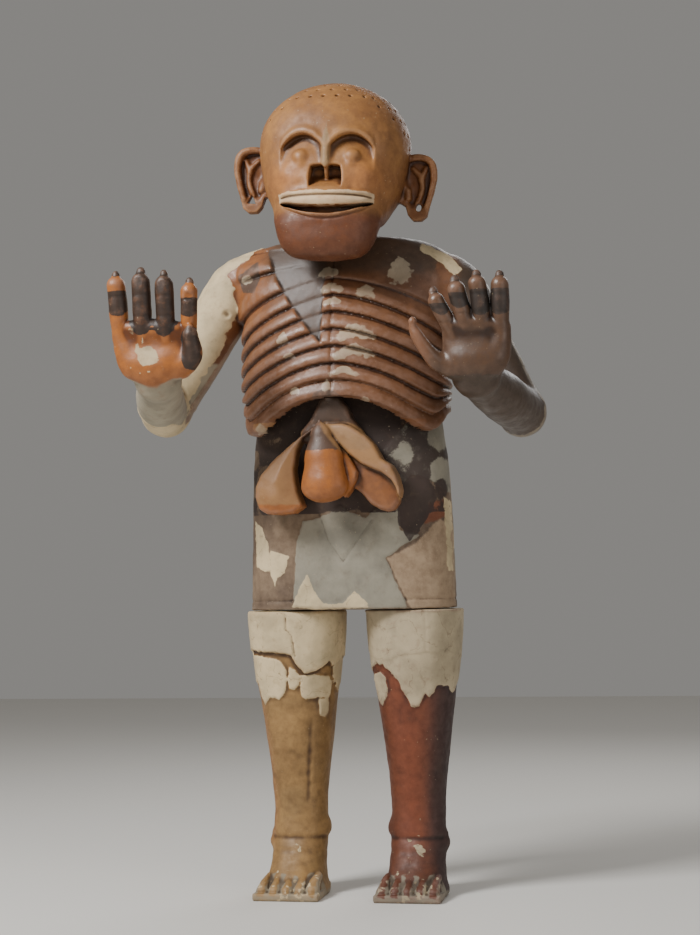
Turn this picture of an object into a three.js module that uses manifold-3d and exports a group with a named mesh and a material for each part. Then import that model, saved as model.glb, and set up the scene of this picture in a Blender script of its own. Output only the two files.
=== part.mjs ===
// A life-size standing figure of fired clay, part skeleton and part living: a bald head with
// large ears and a bare nose opening, a bony chest over a hanging liver, raised arms with open
// hands, a short skirted trunk and two legs on thin foot slabs.
// Millimetres, +Z up, the figure faces -Y. "Forward" below is the distance towards -Y.
// The origin is on the ground, under the middle of the figure's bounding box.
import * as THREE from "three";
import { mergeVertices } from "three/addons/utils/BufferGeometryUtils.js";
import Module from "manifold-3d";

const wasm = await Module();
wasm.setup();

// Driving heights
const HEIGHT = 1760;
const NECK_HEIGHT = 1430;
const WAIST_HEIGHT = 1110;
const HEM_HEIGHT = 618;
const FIT_GAP = 0.3;

// Chest: the ribs start at this height on the breastbone and run down by one pitch each
const RIB_TOP = 1368;
const RIB_PITCH = 37;
const RIB_COUNT = 8;
const RIB_RELIEF = 10;
const RIB_FALL = 98;
const RIM_FALL = 74;
const RIM_HEIGHT = RIB_TOP - RIB_PITCH * RIB_COUNT;

// Head: it stands a little to one side, turned and leaning towards the figure's left
const HEAD_SHIFT = -8;
const HEAD_YAW = 4;
const HEAD_ROLL = 2;
const CROWN_START = 1620;
const CROWN_ROUNDNESS = 2;
const EYE_SPACING = 106;
const EYE_HEIGHT = 1575;
const EYE_RADIUS = 21;
const MOUTH_HEIGHT = 1461;
const MOUTH_HALF = 99;
const EAR_REACH = 225;
const EAR_TOP = 1613;
const EAR_BOTTOM = 1470;
const EAR_DROP = 10;
const EAR_THICKNESS = 17;

// Legs and feet
const LEG_SPREAD = 132;
const SLAB_THICKNESS = 15;
const TOE_REACH = 141;
const FOOT_TURN = 0.03;
const HEEL_TAPER = 0.28;

// Materials, as the fired clay and its lime coat look
const CLAY = new THREE.MeshStandardMaterial({ color: "#a3683c", roughness: 0.5 });
const DARK_CLAY = new THREE.MeshStandardMaterial({ color: "#7a4a2c", roughness: 0.35 });
const STUCCO = new THREE.MeshStandardMaterial({ color: "#b9ac97", roughness: 0.9 });

// Levels of the upright forms: [height, half width, front, back, squareness]
const HEAD_LEVELS = [
  [1356, 50, 262, 222, 2.3],
  [1366, 74, 272, 202, 2.5],
  [1384, 93, 280, 188, 2.7],
  [1405, 103, 284, 176, 2.7],
  [1432, 111, 286, 160, 2.6],
  [1446, 117, 286, 110, 2.5],
  [1462, 122, 285, 60, 2.4],
  [1476, 127, 284, 30, 2.3],
  [1490, 134, 284, 12, 2.25],
  [1515, 146, 281, -2, 2.2],
  [1560, 157, 274, -12, 2.2],
  [1600, 163, 273, -15, 2.2],
  [1620, 164, 271, -14, 2.2],
  [1700, 164, 264, -12, 2.1],
  [1760, 164, 258, -8, 2.0],
];
const NECK_LEVELS = [
  [NECK_HEIGHT + 70, 66, 158, 26, 2],
  [NECK_HEIGHT + 30, 66, 146, 12, 2],
  [NECK_HEIGHT + FIT_GAP, 70, 142, 4, 2],
];
const CHEST_LEVELS = [
  [980, 206, 178, -70, 2.3],
  [1029, 214, 192, -78, 2.35],
  [1089, 221, 198, -84, 2.35],
  [1150, 222, 196, -88, 2.35],
  [1215, 222, 190, -90, 2.35],
  [1270, 226, 181, -86, 2.3],
  [1320, 238, 170, -80, 2.3],
  [1360, 240, 158, -68, 2.25],
  [1390, 226, 145, -52, 2.2],
  [1410, 198, 136, -38, 2.15],
  [1422, 160, 130, -22, 2.1],
  [1430, 100, 122, -4, 2.0],
];
const TRUNK_LEVELS = [
  [HEM_HEIGHT, 229, 124, -92, 2.7],
  [680, 227, 128, -99, 2.7],
  [776, 226, 132, -100, 2.6],
  [860, 222, 136, -94, 2.6],
  [932, 218, 137, -85, 2.5],
  [1000, 211, 135, -76, 2.45],
  [1040, 205, 130, -68, 2.4],
  [WAIST_HEIGHT, 194, 118, -54, 2.4],
];
const LEG_LEVELS = [
  [10, 70, 134, -68, 2.5],
  [30, 70, 128, -70, 2.4],
  [48, 69, 110, -71, 2.3],
  [72, 67, 88, -70, 2.2],
  [100, 66, 70, -66, 2.2],
  [128, 66, 60, -62, 2.2],
  [200, 65, 54, -66, 2.2],
  [331, 78, 72, -92, 2.2],
  [441, 93, 88, -92, 2.2],
  [520, 102, 100, -98, 2.3],
  [584, 106, 106, -100, 2.4],
  [HEM_HEIGHT - FIT_GAP, 107, 107, -98, 2.5],
];

// Arms by side, -1 for the figure's right, which is on the left when it is seen from the front
const ARMS = [
  {
    side: -1,
    shoulder: [-248, 48, 1328],
    elbow: [-420, 35, 1064],
    wrist: [-346, 322, 1106],
    palm: [-340, 374, 1212],
    palmHalf: 82,
    // Each finger: foot of the finger, tip, and radius
    fingers: [
      [-412, 372, 1205, -417, 388, 1318, 19],
      [-362, 376, 1200, -361, 394, 1322, 19],
      [-312, 376, 1200, -311, 394, 1316, 19],
      [-264, 372, 1205, -258, 388, 1298, 17],
    ],
    thumb: [[-286, 362, 1130], [-256, 378, 1152], [-258, 392, 1194]],
  },
  {
    side: 1,
    shoulder: [242, 48, 1312],
    elbow: [382, 35, 1038],
    wrist: [327, 322, 1090],
    palm: [322, 374, 1190],
    palmHalf: 78,
    fingers: [
      [382, 372, 1185, 386, 388, 1282, 18],
      [341, 376, 1188, 341, 394, 1284, 18],
      [298, 376, 1186, 295, 394, 1274, 18],
      [260, 372, 1172, 249, 388, 1252, 17],
    ],
    thumb: [[280, 360, 1122], [238, 372, 1140], [206, 386, 1188]],
  },
];
const SHOULDER_RADIUS = 64;
const ELBOW_RADIUS = 55;
const WRIST_RADIUS = 44;
const THUMB_RADIUS = 18;
const NAIL_LENGTH = 9;

// A point from its sideways, forward and upward distances.
const point = (x, forward, z) => new THREE.Vector3(x, -forward, z);

const clamp01 = (x) => Math.min(1, Math.max(0, x));

function smooth(from, to, x) {
  const t = clamp01((x - from) / (to - from));
  return t * t * (3 - 2 * t);
}

const bump = (x, centre, width) => Math.exp(-(((x - centre) / width) ** 2));

// The values of a table of levels at any height, on a smooth curve through them.
function levelAt(levels, z) {
  const last = levels.length - 1;
  if (z <= levels[0][0]) return levels[0].slice(1);
  if (z >= levels[last][0]) return levels[last].slice(1);
  let i = 0;
  while (levels[i + 1][0] < z) i += 1;
  const [a, b] = [levels[i], levels[i + 1]];
  const [before, after] = [levels[Math.max(0, i - 1)], levels[Math.min(last, i + 2)]];
  const span = b[0] - a[0];
  const t = (z - a[0]) / span;
  return a.slice(1).map((value, k) => {
    const j = k + 1;
    const slopeA = ((b[j] - before[j]) / (b[0] - before[0])) * span;
    const slopeB = ((after[j] - a[j]) / (after[0] - a[0])) * span;
    return (
      (2 * t ** 3 - 3 * t ** 2 + 1) * value +
      (t ** 3 - 2 * t ** 2 + t) * slopeA +
      (3 * t ** 2 - 2 * t ** 3) * b[j] +
      (t ** 3 - t ** 2) * slopeB
    );
  });
}

// A closed skin over rings of points that run anticlockwise as seen from the first pole.
function skin(firstPole, rings, lastPole) {
  const cols = rings[0].length;
  const geometry = new THREE.SphereGeometry(1, cols, rings.length + 1);
  const place = geometry.getAttribute("position");
  for (let row = 0; row <= rings.length + 1; row += 1) {
    for (let col = 0; col <= cols; col += 1) {
      const at =
        row === 0 ? firstPole : row > rings.length ? lastPole : rings[row - 1][col % cols];
      place.setXYZ(row * (cols + 1) + col, at.x, at.y, at.z);
    }
  }
  return geometry;
}

function solid(geometry, placing) {
  const bare = geometry.clone();
  if (placing) bare.applyMatrix4(placing);
  bare.deleteAttribute("normal");
  bare.deleteAttribute("uv");
  const merged = mergeVertices(bare, 1e-3);
  return new wasm.Manifold(
    new wasm.Mesh({
      numProp: 3,
      vertProperties: merged.getAttribute("position").array,
      triVerts: new Uint32Array(merged.index.array),
    }),
  );
}

// One solid from shapes that run into each other, placed by an optional matrix.
function joined(shapes, placing) {
  return shapes.map((shape) => solid(shape, placing)).reduce((whole, next) => whole.add(next));
}

function nodeMesh(name, made, material) {
  const got = made.getMesh();
  const geometry = new THREE.BufferGeometry()
    .setAttribute("position", new THREE.BufferAttribute(got.vertProperties.slice(), 3))
    .setIndex(new THREE.BufferAttribute(got.triVerts.slice(), 1));
  geometry.computeVertexNormals();
  const mesh = new THREE.Mesh(geometry, material);
  mesh.name = name;
  return mesh;
}

// A point on an upright form's outline: turn is 0 at the front and positive towards +X.
function outline([half, front, back, square], turn, z, relief = 0) {
  const [s, c] = [Math.sin(turn), Math.cos(turn)];
  const middle = (front + back) / 2;
  const reach = (front - back) / 2;
  const x = half * Math.sign(s) * Math.abs(s) ** (2 / square);
  const forward = middle + reach * Math.sign(c) * Math.abs(c) ** (2 / square);
  const [nx, nf] = [x / half ** 2, (forward - middle) / reach ** 2];
  const length = Math.hypot(nx, nf) || 1;
  return point(x + (relief * nx) / length, forward + (relief * nf) / length, z);
}

// Turns around an upright form, crowded towards the front by the share given.
function turns(cols, crowding = 0) {
  return Array.from({ length: cols }, (_, i) => {
    const even = (2 * Math.PI * i) / cols;
    return even - crowding * Math.sin(even);
  });
}

function steps(from, to, count) {
  return Array.from({ length: count + 1 }, (_, i) => from + ((to - from) * i) / count);
}

// A round or oval bar along a smooth path: stations are [x, forward, z, radius, radius across].
function bar(stations, { cols = 8, rows = 6, side = [1, 0, 0], round = [true, true] } = {}) {
  const path = new THREE.CatmullRomCurve3(stations.map(([x, f, z]) => point(x, f, z)));
  const radii = (t) => {
    const place = t * (stations.length - 1);
    const i = Math.min(stations.length - 2, Math.floor(place));
    const share = smooth(0, 1, place - i);
    const [a, b] = [stations[i], stations[i + 1]];
    return [a[3] + (b[3] - a[3]) * share, (a[4] ?? a[3]) * (1 - share) + (b[4] ?? b[3]) * share];
  };
  const ring = (centre, tangent, [wide, deep], scale) => {
    const across = new THREE.Vector3(side[0], -side[1], side[2]);
    across.addScaledVector(tangent, -across.dot(tangent)).normalize();
    const up = across.clone().cross(tangent);
    return turns(cols).map((turn) =>
      centre
        .clone()
        .addScaledVector(across, Math.cos(turn) * wide * scale)
        .addScaledVector(up, Math.sin(turn) * deep * scale),
    );
  };
  const ends = [0, 1].map((t) => {
    const [centre, tangent] = [path.getPoint(t), path.getTangent(t)];
    const out = t === 0 ? -1 : 1;
    const length = Math.min(...radii(t));
    const cap = [0.5, 0.87].map((sine) =>
      ring(
        centre.clone().addScaledVector(tangent, out * length * sine),
        tangent,
        radii(t),
        Math.sqrt(1 - sine * sine),
      ),
    );
    const pole = centre.clone().addScaledVector(tangent, round[t] ? out * length : 0);
    return { cap: round[t] ? cap : [], pole };
  });
  const body = steps(0, 1, rows).map((t) => ring(path.getPoint(t), path.getTangent(t), radii(t), 1));
  return skin(ends[0].pole, [...ends[0].cap.reverse(), ...body, ...ends[1].cap], ends[1].pole);
}

function ball([x, forward, z], radius, squash = [1, 1, 1], cols = 12, rows = 8) {
  const geometry = new THREE.SphereGeometry(radius, cols, rows);
  geometry.rotateX(Math.PI / 2);
  geometry.scale(...squash);
  return geometry.translate(x, -forward, z);
}

// How far a rib falls from the breastbone to the turn given: the lowest ribs rise again behind.
function ribFall(turn, boneHeight) {
  const upper = RIB_FALL * Math.abs(Math.sin(turn * 0.87)) ** 1.25;
  const aside = Math.abs(turn);
  const lower = RIM_FALL * smooth(0, 1.15, aside) - 44 * smooth(1.1, 1.7, aside);
  const low = smooth(RIM_HEIGHT + 4 * RIB_PITCH, RIM_HEIGHT, boneHeight);
  return (upper + (lower - upper) * low) * (1 - smooth(RIB_TOP - 60, RIB_TOP + 45, boneHeight));
}

// The ribs' height over the chest, by turn and by the height where that rib meets the breastbone.
function ribRelief(turn, boneHeight) {
  const place = (RIB_TOP - boneHeight) / RIB_PITCH;
  if (place <= 0 || place >= RIB_COUNT) return 0;
  const share = place - Math.floor(place);
  const fade = smooth(0, 2.2, place) * (1 - 0.6 * smooth(2.2, 3.1, Math.abs(turn)));
  return RIB_RELIEF * fade * (smooth(0, 0.6, share) - smooth(0.86, 1, share));
}

function chestForm() {
  const around = turns(26, 0.08).map((turn) => (turn > Math.PI ? turn - 2 * Math.PI : turn));
  const ringAt = (boneHeight) =>
    around.map((turn) => {
      const height = boneHeight - ribFall(turn, boneHeight);
      return outline(levelAt(CHEST_LEVELS, height), turn, height, ribRelief(turn, boneHeight));
    });
  const upper = [NECK_HEIGHT, 1418, 1392].map(ringAt);
  const ribs = [];
  for (let rib = 0; rib < RIB_COUNT; rib += 1) {
    const top = RIB_TOP - rib * RIB_PITCH;
    for (const share of [0.03, 0.82]) ribs.push(ringAt(top - share * RIB_PITCH - 0.01));
  }
  const rim = ringAt(RIM_HEIGHT + 0.02);
  const inner = around.map((turn) => {
    const height = RIM_HEIGHT + 22 - ribFall(turn, RIM_HEIGHT);
    return outline(levelAt(TRUNK_LEVELS, height), turn, height, -10);
  });
  const rings = [...upper, ...ribs, rim, inner];
  return skin(point(0, 60, NECK_HEIGHT), rings, point(0, 30, RIM_HEIGHT + 24));
}

function trunkForm(grow = 0) {
  const ringAt = (z, shrink) =>
    turns(22).map((turn) => {
      const [half, front, back, square] = levelAt(TRUNK_LEVELS, z);
      const edge = grow - shrink;
      return outline([half + edge, front + edge, back - edge, square], turn, z);
    });
  const top = WAIST_HEIGHT + grow;
  const heights = [1070, 1000, 932, 850, 740];
  const rings = [
    ringAt(top, 0),
    ...heights.map((z) => ringAt(z, 0)),
    ringAt(HEM_HEIGHT + 6, 0),
    ringAt(HEM_HEIGHT, 4),
  ];
  return skin(point(0, 40, top), rings, point(0, 20, HEM_HEIGHT));
}

function finger([x, forward, z, tipX, tipForward, tipZ, radius]) {
  const length = Math.hypot(tipX - x, tipForward - forward, tipZ - z);
  const along = (share) => [
    x + (tipX - x) * share,
    forward + (tipForward - forward) * share,
    z + (tipZ - z) * share,
  ];
  return bar(
    [
      [...along(-0.1), radius * 0.92],
      [...along(0.45), radius * 1.04],
      [...along(0.9), radius * 1.02],
      [...along(1), radius * 0.7, radius * 0.6],
      [...along(1 + NAIL_LENGTH / length), radius * 0.5, radius * 0.3],
    ],
    { cols: 6, rows: 4, round: [false, true] },
  );
}

function armAndHand(arm) {
  const [sx, sf, sz] = arm.shoulder;
  const [ex, ef, ez] = arm.elbow;
  const [wx, wf, wz] = arm.wrist;
  const [px, pf, pz] = arm.palm;
  const inward = -arm.side;
  const upperArm = bar(
    [
      [sx + inward * 70, sf, sz + 18, SHOULDER_RADIUS],
      [sx, sf, sz, SHOULDER_RADIUS],
      [(sx + ex) / 2, (sf + ef) / 2, (sz + ez) / 2, 57],
      [ex, ef, ez, ELBOW_RADIUS],
    ],
    { cols: 10, rows: 4, side: [0, 1, 0] },
  );
  const forearm = bar(
    [
      [ex, ef + 8, ez + 2, ELBOW_RADIUS - 2],
      [(ex + wx) / 2 + arm.side * 6, (ef + wf) / 2, (ez + wz) / 2 - 4, 52],
      [wx, wf, wz, WRIST_RADIUS],
    ],
    { cols: 10, rows: 2 },
  );
  const palm = bar(
    [
      [wx, wf + 6, wz - 2, WRIST_RADIUS + 6, WRIST_RADIUS - 6],
      [(wx + px) / 2, (wf + pf) / 2 + 8, (wz + pz) / 2, arm.palmHalf - 5, 27],
      [px, pf, pz, arm.palmHalf, 21],
    ],
    { cols: 10, rows: 3 },
  );
  const thumb = bar(
    arm.thumb.map((at, i) => [...at, THUMB_RADIUS + 6 - 4 * i]),
    { cols: 7, rows: 3 },
  );
  return [upperArm, forearm, palm, thumb, ...arm.fingers.map(finger)];
}

// The liver's three hanging lobes, under a wedge that leaves the chest below the breastbone.
function liver() {
  const wedge = bar(
    [
      [-10, 165, 1092, 16, 18],
      [-10, 168, 1050, 28, 20],
      [-6, 165, 1000, 58, 22],
      [0, 155, 960, 66, 20],
    ],
    { cols: 8, rows: 3 },
  );
  const gallBladder = bar(
    [
      [-30, 192, 1018, 7, 8],
      [-26, 202, 960, 40, 24],
      [-20, 206, 895, 56, 36],
      [-18, 204, 868, 46, 32],
    ],
    { cols: 9, rows: 4 },
  );
  const rightLobe = bar(
    [
      [-48, 174, 1012, 12, 12],
      [-112, 176, 950, 28, 18],
      [-130, 176, 890, 50, 28],
      [-124, 172, 870, 44, 26],
    ],
    { cols: 9, rows: 4 },
  );
  const leftLobe = bar(
    [
      [34, 166, 960, 26, 16],
      [70, 164, 915, 44, 20],
      [86, 164, 868, 44, 22],
    ],
    { cols: 8, rows: 3 },
  );
  const leftRidge = bar(
    [
      [-20, 190, 1010, 9],
      [34, 194, 990, 16, 14],
      [84, 186, 930, 15, 16],
      [116, 176, 882, 12, 14],
    ],
    { cols: 7, rows: 4, side: [0.7, 0, 0.7] },
  );
  return [wedge, gallBladder, rightLobe, leftLobe, leftRidge];
}

function chest() {
  const shapes = [chestForm(), ...ARMS.flatMap(armAndHand), ...liver()];
  return joined(shapes).subtract(joined([trunkForm(FIT_GAP + 0.1)]));
}

// The face's hollows and swellings, by place on the front of the head.
function faceRelief(x, z) {
  const eyeSide = Math.abs(x) - EYE_SPACING / 2;
  const socket = bump(eyeSide, -2, 34) * bump(z, EYE_HEIGHT + 22, 20);
  const brow = bump(eyeSide, 0, 44) * bump(z, EYE_HEIGHT + 52 - 0.006 * eyeSide ** 2, 12);
  const bridge = bump(x, 0, 15) * smooth(EYE_HEIGHT + 50, EYE_HEIGHT - 10, z) * smooth(1500, 1540, z);
  const cheekHollow = bump(Math.abs(x), 96, 34) * bump(z, 1508, 20);
  const jawHollow = bump(z, MOUTH_HEIGHT, 26) * smooth(110, 60, Math.abs(x));
  return -17 * socket + 5 * brow + 6 * bridge - 4 * cheekHollow + 3 * jawHollow;
}

function headForm() {
  const around = turns(26, 0.42);
  const shares = [0.975, 0.88, 0.68, 0.38];
  const ringAt = (z) => {
    const [half, front, back, square] = levelAt(HEAD_LEVELS, z);
    const rise = clamp01((z - CROWN_START) / (HEIGHT - CROWN_START));
    const shrink = (1 - rise ** CROWN_ROUNDNESS) ** (1 / CROWN_ROUNDNESS);
    const middle = (front + back) / 2;
    const reach = ((front - back) / 2) * shrink;
    const level = [half * shrink, middle + reach, middle - reach, square];
    return around.map((turn) => {
      const at = outline(level, turn, z);
      const facing = smooth(0.1, 0.75, Math.cos(turn));
      return outline(level, turn, z, facing * faceRelief(at.x, z));
    });
  };
  const crown = shares.map((share) => CROWN_START + (HEIGHT - CROWN_START) * share);
  const face = [1636, 1624, 1613, 1598, 1580, 1558, 1532, 1506, 1484, 1460, 1430];
  const jaw = [1398, 1373, 1356.5];
  const rings = [...crown, ...face, ...jaw].map(ringAt);
  return skin(point(0, 124, HEIGHT), rings, point(0, 242, 1355.5));
}

// A bar that follows the front of the face at a height that may bend, from ear to ear.
function faceBar(halfWidth, heightAt, radius, { lift = 0, deep = radius, cols = 5, rows = 6 } = {}) {
  const stations = steps(-1, 1, rows).map((share) => {
    const x = halfWidth * Math.sin((share * Math.PI) / 2);
    const z = heightAt(share);
    const [half, front, back, square] = levelAt(HEAD_LEVELS, z);
    const forward =
      (front + back) / 2 +
      ((front - back) / 2) * (1 - Math.abs(x / half) ** square) ** (1 / square);
    return [x, forward + lift, z, radius, deep];
  });
  return bar(stations, { cols, rows: rows + 2, side: [0, 0, 1] });
}

// The nose opening, wide at its middle and flat at the sill.
function noseOpening() {
  const shape = new THREE.Shape();
  shape.moveTo(0, 1557);
  shape.bezierCurveTo(20, 1557, 37, 1548, 37, 1530);
  shape.bezierCurveTo(37, 1508, 30, 1502, 22, 1502);
  shape.lineTo(-22, 1502);
  shape.bezierCurveTo(-30, 1502, -37, 1508, -37, 1530);
  shape.bezierCurveTo(-37, 1548, -20, 1557, 0, 1557);
  const geometry = new THREE.ExtrudeGeometry(shape, {
    depth: 60,
    bevelEnabled: false,
    curveSegments: 3,
  });
  geometry.rotateX(Math.PI / 2);
  return geometry.translate(0, -244, 0);
}

// The ear on one side: its plate and rim, and the hole through its lobe.
function ear(side) {
  const width = EAR_REACH - 140;
  const shape = new THREE.Shape();
  const top = EAR_TOP - side * EAR_DROP;
  const bottom = EAR_BOTTOM - side * EAR_DROP;
  const out = (share) => side * width * share;
  shape.moveTo(0, top - 8);
  shape.lineTo(out(0.55), top);
  shape.bezierCurveTo(out(0.9), top, out(1), top - 14, out(1), top - 34);
  shape.bezierCurveTo(out(1), top - 70, out(0.9), bottom + 50, out(0.86), bottom + 26);
  shape.bezierCurveTo(out(0.84), bottom + 4, out(0.62), bottom, out(0.5), bottom);
  shape.bezierCurveTo(out(0.3), bottom, out(0.24), bottom + 12, out(0.22), bottom + 24);
  shape.lineTo(0, bottom + 40);
  const plate = new THREE.ExtrudeGeometry(shape, {
    depth: EAR_THICKNESS,
    bevelEnabled: false,
    curveSegments: 3,
  });
  plate.rotateX(Math.PI / 2);
  plate.translate(side * 140, -112, 0);
  const rim = bar(
    [
      [side * 150, 126, top - 10, 8],
      [side * (140 + width * 0.55), 128, top - 8, 8],
      [side * (EAR_REACH - 9), 128, top - 34, 9],
      [side * (EAR_REACH - 14), 128, top - 74, 8],
      [side * (140 + width * 0.78), 128, bottom + 40, 7],
    ],
    { cols: 5, rows: 6, side: [0, 1, 0] },
  );
  const hole = new THREE.CylinderGeometry(8, 8, 80, 8);
  hole.translate(side * (140 + width * 0.52), -120, bottom + 28);
  return { shapes: [plate, rim], hole };
}

function head() {
  const degree = Math.PI / 180;
  const pivot = point(0, 110, NECK_HEIGHT);
  const pose = new THREE.Matrix4()
    .makeTranslation(pivot.x + HEAD_SHIFT, pivot.y, pivot.z)
    .multiply(new THREE.Matrix4().makeRotationZ(HEAD_YAW * degree))
    .multiply(new THREE.Matrix4().makeRotationY(HEAD_ROLL * degree))
    .multiply(new THREE.Matrix4().makeTranslation(-pivot.x, -pivot.y, -pivot.z));
  const eyes = [-1, 1].map((side) =>
    ball([(side * EYE_SPACING) / 2, 256, EYE_HEIGHT], EYE_RADIUS, [1, 0.95, 0.95], 8, 5),
  );
  const smile = (drop) => (share) => MOUTH_HEIGHT + 18 + drop * (1 - share * share);
  const upperLip = faceBar(MOUTH_HALF, smile(-1), 11, { lift: 4 });
  const slit = faceBar(MOUTH_HALF + 2, smile(-20), 8, { lift: 4, deep: 26 });
  const septum = bar(
    [
      [0, 262, 1560, 5, 9],
      [0, 256, 1520, 4, 9],
    ],
    { cols: 5, rows: 1 },
  );
  const ears = [ear(-1), ear(1)];
  const shapes = [headForm(), ...eyes, upperLip];
  const face = joined([...shapes, ...ears.flatMap((one) => one.shapes)], pose)
    .subtract(joined([noseOpening()], pose))
    .subtract(joined([slit], pose))
    .subtract(joined([ears[0].hole], pose))
    .subtract(joined([ears[1].hole], pose))
    .add(joined([septum], pose));
  const neckRings = NECK_LEVELS.map(([z, ...level]) => turns(14).map((turn) => outline(level, turn, z)));
  const [neckTop, neckFoot] = [NECK_LEVELS[0][0], NECK_LEVELS[2][0]];
  return face.add(joined([skin(point(0, 90, neckTop), neckRings, point(0, 72, neckFoot))]));
}

function slab(side) {
  const shape = new THREE.Shape();
  const [toe, heel] = [TOE_REACH + 5, -82];
  shape.moveTo(-72, toe - 10);
  shape.quadraticCurveTo(-70, toe, -58, toe);
  shape.lineTo(58, toe);
  shape.quadraticCurveTo(70, toe, 72, toe - 10);
  shape.lineTo(66, 40);
  shape.bezierCurveTo(60, -30, 56, heel, 0, heel);
  shape.bezierCurveTo(-56, heel, -60, -30, -66, 40);
  const geometry = new THREE.ExtrudeGeometry(shape, {
    depth: SLAB_THICKNESS,
    bevelEnabled: false,
    curveSegments: 4,
  });
  geometry.rotateX(Math.PI);
  geometry.applyMatrix4(new THREE.Matrix4().makeShear(0, 0, FOOT_TURN, 0, 0, 0));
  return geometry.translate(side * LEG_SPREAD, 0, SLAB_THICKNESS);
}

function leg(side) {
  const heights = [...LEG_LEVELS].reverse().map(([z]) => z);
  const rings = heights.map((z) => {
    const low = 1 - smooth(50, 140, z);
    return turns(16).map((turn) => {
      const at = outline(levelAt(LEG_LEVELS, z), turn, z);
      at.x *= 1 - HEEL_TAPER * low * smooth(-40, 90, at.y);
      at.x += side * LEG_SPREAD + low * FOOT_TURN * at.y;
      return at;
    });
  });
  const [top, foot] = [heights[0], heights[heights.length - 1]];
  const shank = skin(point(side * LEG_SPREAD, 4, top), rings, point(side * LEG_SPREAD, 20, foot));
  const toes = [-2, -1, 0, 1, 2].map((i) => {
    const x = side * LEG_SPREAD + i * 27.5 - FOOT_TURN * 110;
    const radius = i * side === -2 ? 16 : 13.5;
    return bar(
      [
        [x, 84, 42, radius],
        [x, 108, 36, radius],
        [x, TOE_REACH - radius - Math.abs(i) * 2, 27, radius - 1],
      ],
      { cols: 6, rows: 2, round: [false, true] },
    );
  });
  const ankleBones = [-1, 1].map((out) =>
    ball([side * LEG_SPREAD + out * 56, -4, out * side > 0 ? 142 : 160], 19, [0.8, 1.1, 1.2], 7, 5),
  );
  return joined([shank, ...toes, ...ankleBones, slab(side)]);
}

const statue = new THREE.Group();
statue.add(
  nodeMesh("head", head(), CLAY),
  nodeMesh("chest_and_arms", chest(), DARK_CLAY),
  nodeMesh("lower_trunk", joined([trunkForm()]), STUCCO),
  nodeMesh("right_leg", leg(-1), STUCCO),
  nodeMesh("left_leg", leg(1), STUCCO),
);

// The middle of the bounding box stands over the origin.
const middle = new THREE.Box3().setFromObject(statue).getCenter(new THREE.Vector3());
statue.position.set(-middle.x, -middle.y, 0);

export default statue;
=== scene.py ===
"""The statue's look: each fired section is carved from a block of clay on a grid, meshed and coloured."""

import math

import bpy
import numpy as np
import openvdb as vdb
from mathutils import Matrix, Vector


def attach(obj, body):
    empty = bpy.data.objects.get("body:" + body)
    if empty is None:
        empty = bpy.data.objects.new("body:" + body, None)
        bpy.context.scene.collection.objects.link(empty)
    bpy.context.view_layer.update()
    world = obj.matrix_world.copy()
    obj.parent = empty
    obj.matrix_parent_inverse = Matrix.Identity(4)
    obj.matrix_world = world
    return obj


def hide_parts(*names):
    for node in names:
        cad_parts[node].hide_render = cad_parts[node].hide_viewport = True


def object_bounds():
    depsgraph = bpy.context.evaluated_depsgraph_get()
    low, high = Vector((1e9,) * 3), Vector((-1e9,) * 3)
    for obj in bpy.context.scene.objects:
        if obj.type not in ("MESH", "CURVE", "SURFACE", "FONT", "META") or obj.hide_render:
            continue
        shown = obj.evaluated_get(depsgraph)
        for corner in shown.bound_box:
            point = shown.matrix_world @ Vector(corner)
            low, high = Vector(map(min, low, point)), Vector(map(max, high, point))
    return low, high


bl_info = {
    "name": "Ceramic death god statue",
    "version": (1, 0, 0),
    "blender": (4, 5, 0),
    "location": "View3D > Sidebar > Statue",
    "description": "Builds a life-size fired clay figure, half skeleton and half living, with its worn coats",
    "category": "Object",
}

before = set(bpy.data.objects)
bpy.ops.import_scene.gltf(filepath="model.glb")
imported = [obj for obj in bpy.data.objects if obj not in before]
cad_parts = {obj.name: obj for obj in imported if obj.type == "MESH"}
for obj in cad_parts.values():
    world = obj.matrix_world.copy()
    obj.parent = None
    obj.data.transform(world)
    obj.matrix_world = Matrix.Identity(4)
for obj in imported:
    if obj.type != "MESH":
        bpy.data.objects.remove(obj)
SOLID_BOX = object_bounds()

# The middle of the solids' box, from the plane between the legs, in millimetres.
MIDDLE_X = -19.081
MIDDLE_FORWARD = 154.157
FAR = 60.0

# Heights and spacings that the solids share, in millimetres.
HEIGHT = 1760
NECK_HEIGHT = 1430
WAIST_HEIGHT = 1110
HEM_HEIGHT = 618
RIB_TOP = 1368
RIB_PITCH = 37
RIB_COUNT = 8
RIB_FALL = 98
RIM_FALL = 74
RIM_HEIGHT = RIB_TOP - RIB_PITCH * RIB_COUNT
HEAD_SHIFT = -8
HEAD_YAW = 4
HEAD_ROLL = 2
CROWN_START = 1620
EYE_SPACING = 106
EYE_HEIGHT = 1575
MOUTH_HALF = 99
EAR_TOP = 1613
EAR_BOTTOM = 1470
EAR_REACH = 225
EAR_DROP = 10
LEG_SPREAD = 132
SLAB_THICKNESS = 15
TOE_REACH = 141
FOOT_TURN = 0.03
HEEL_TAPER = 0.28

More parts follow.
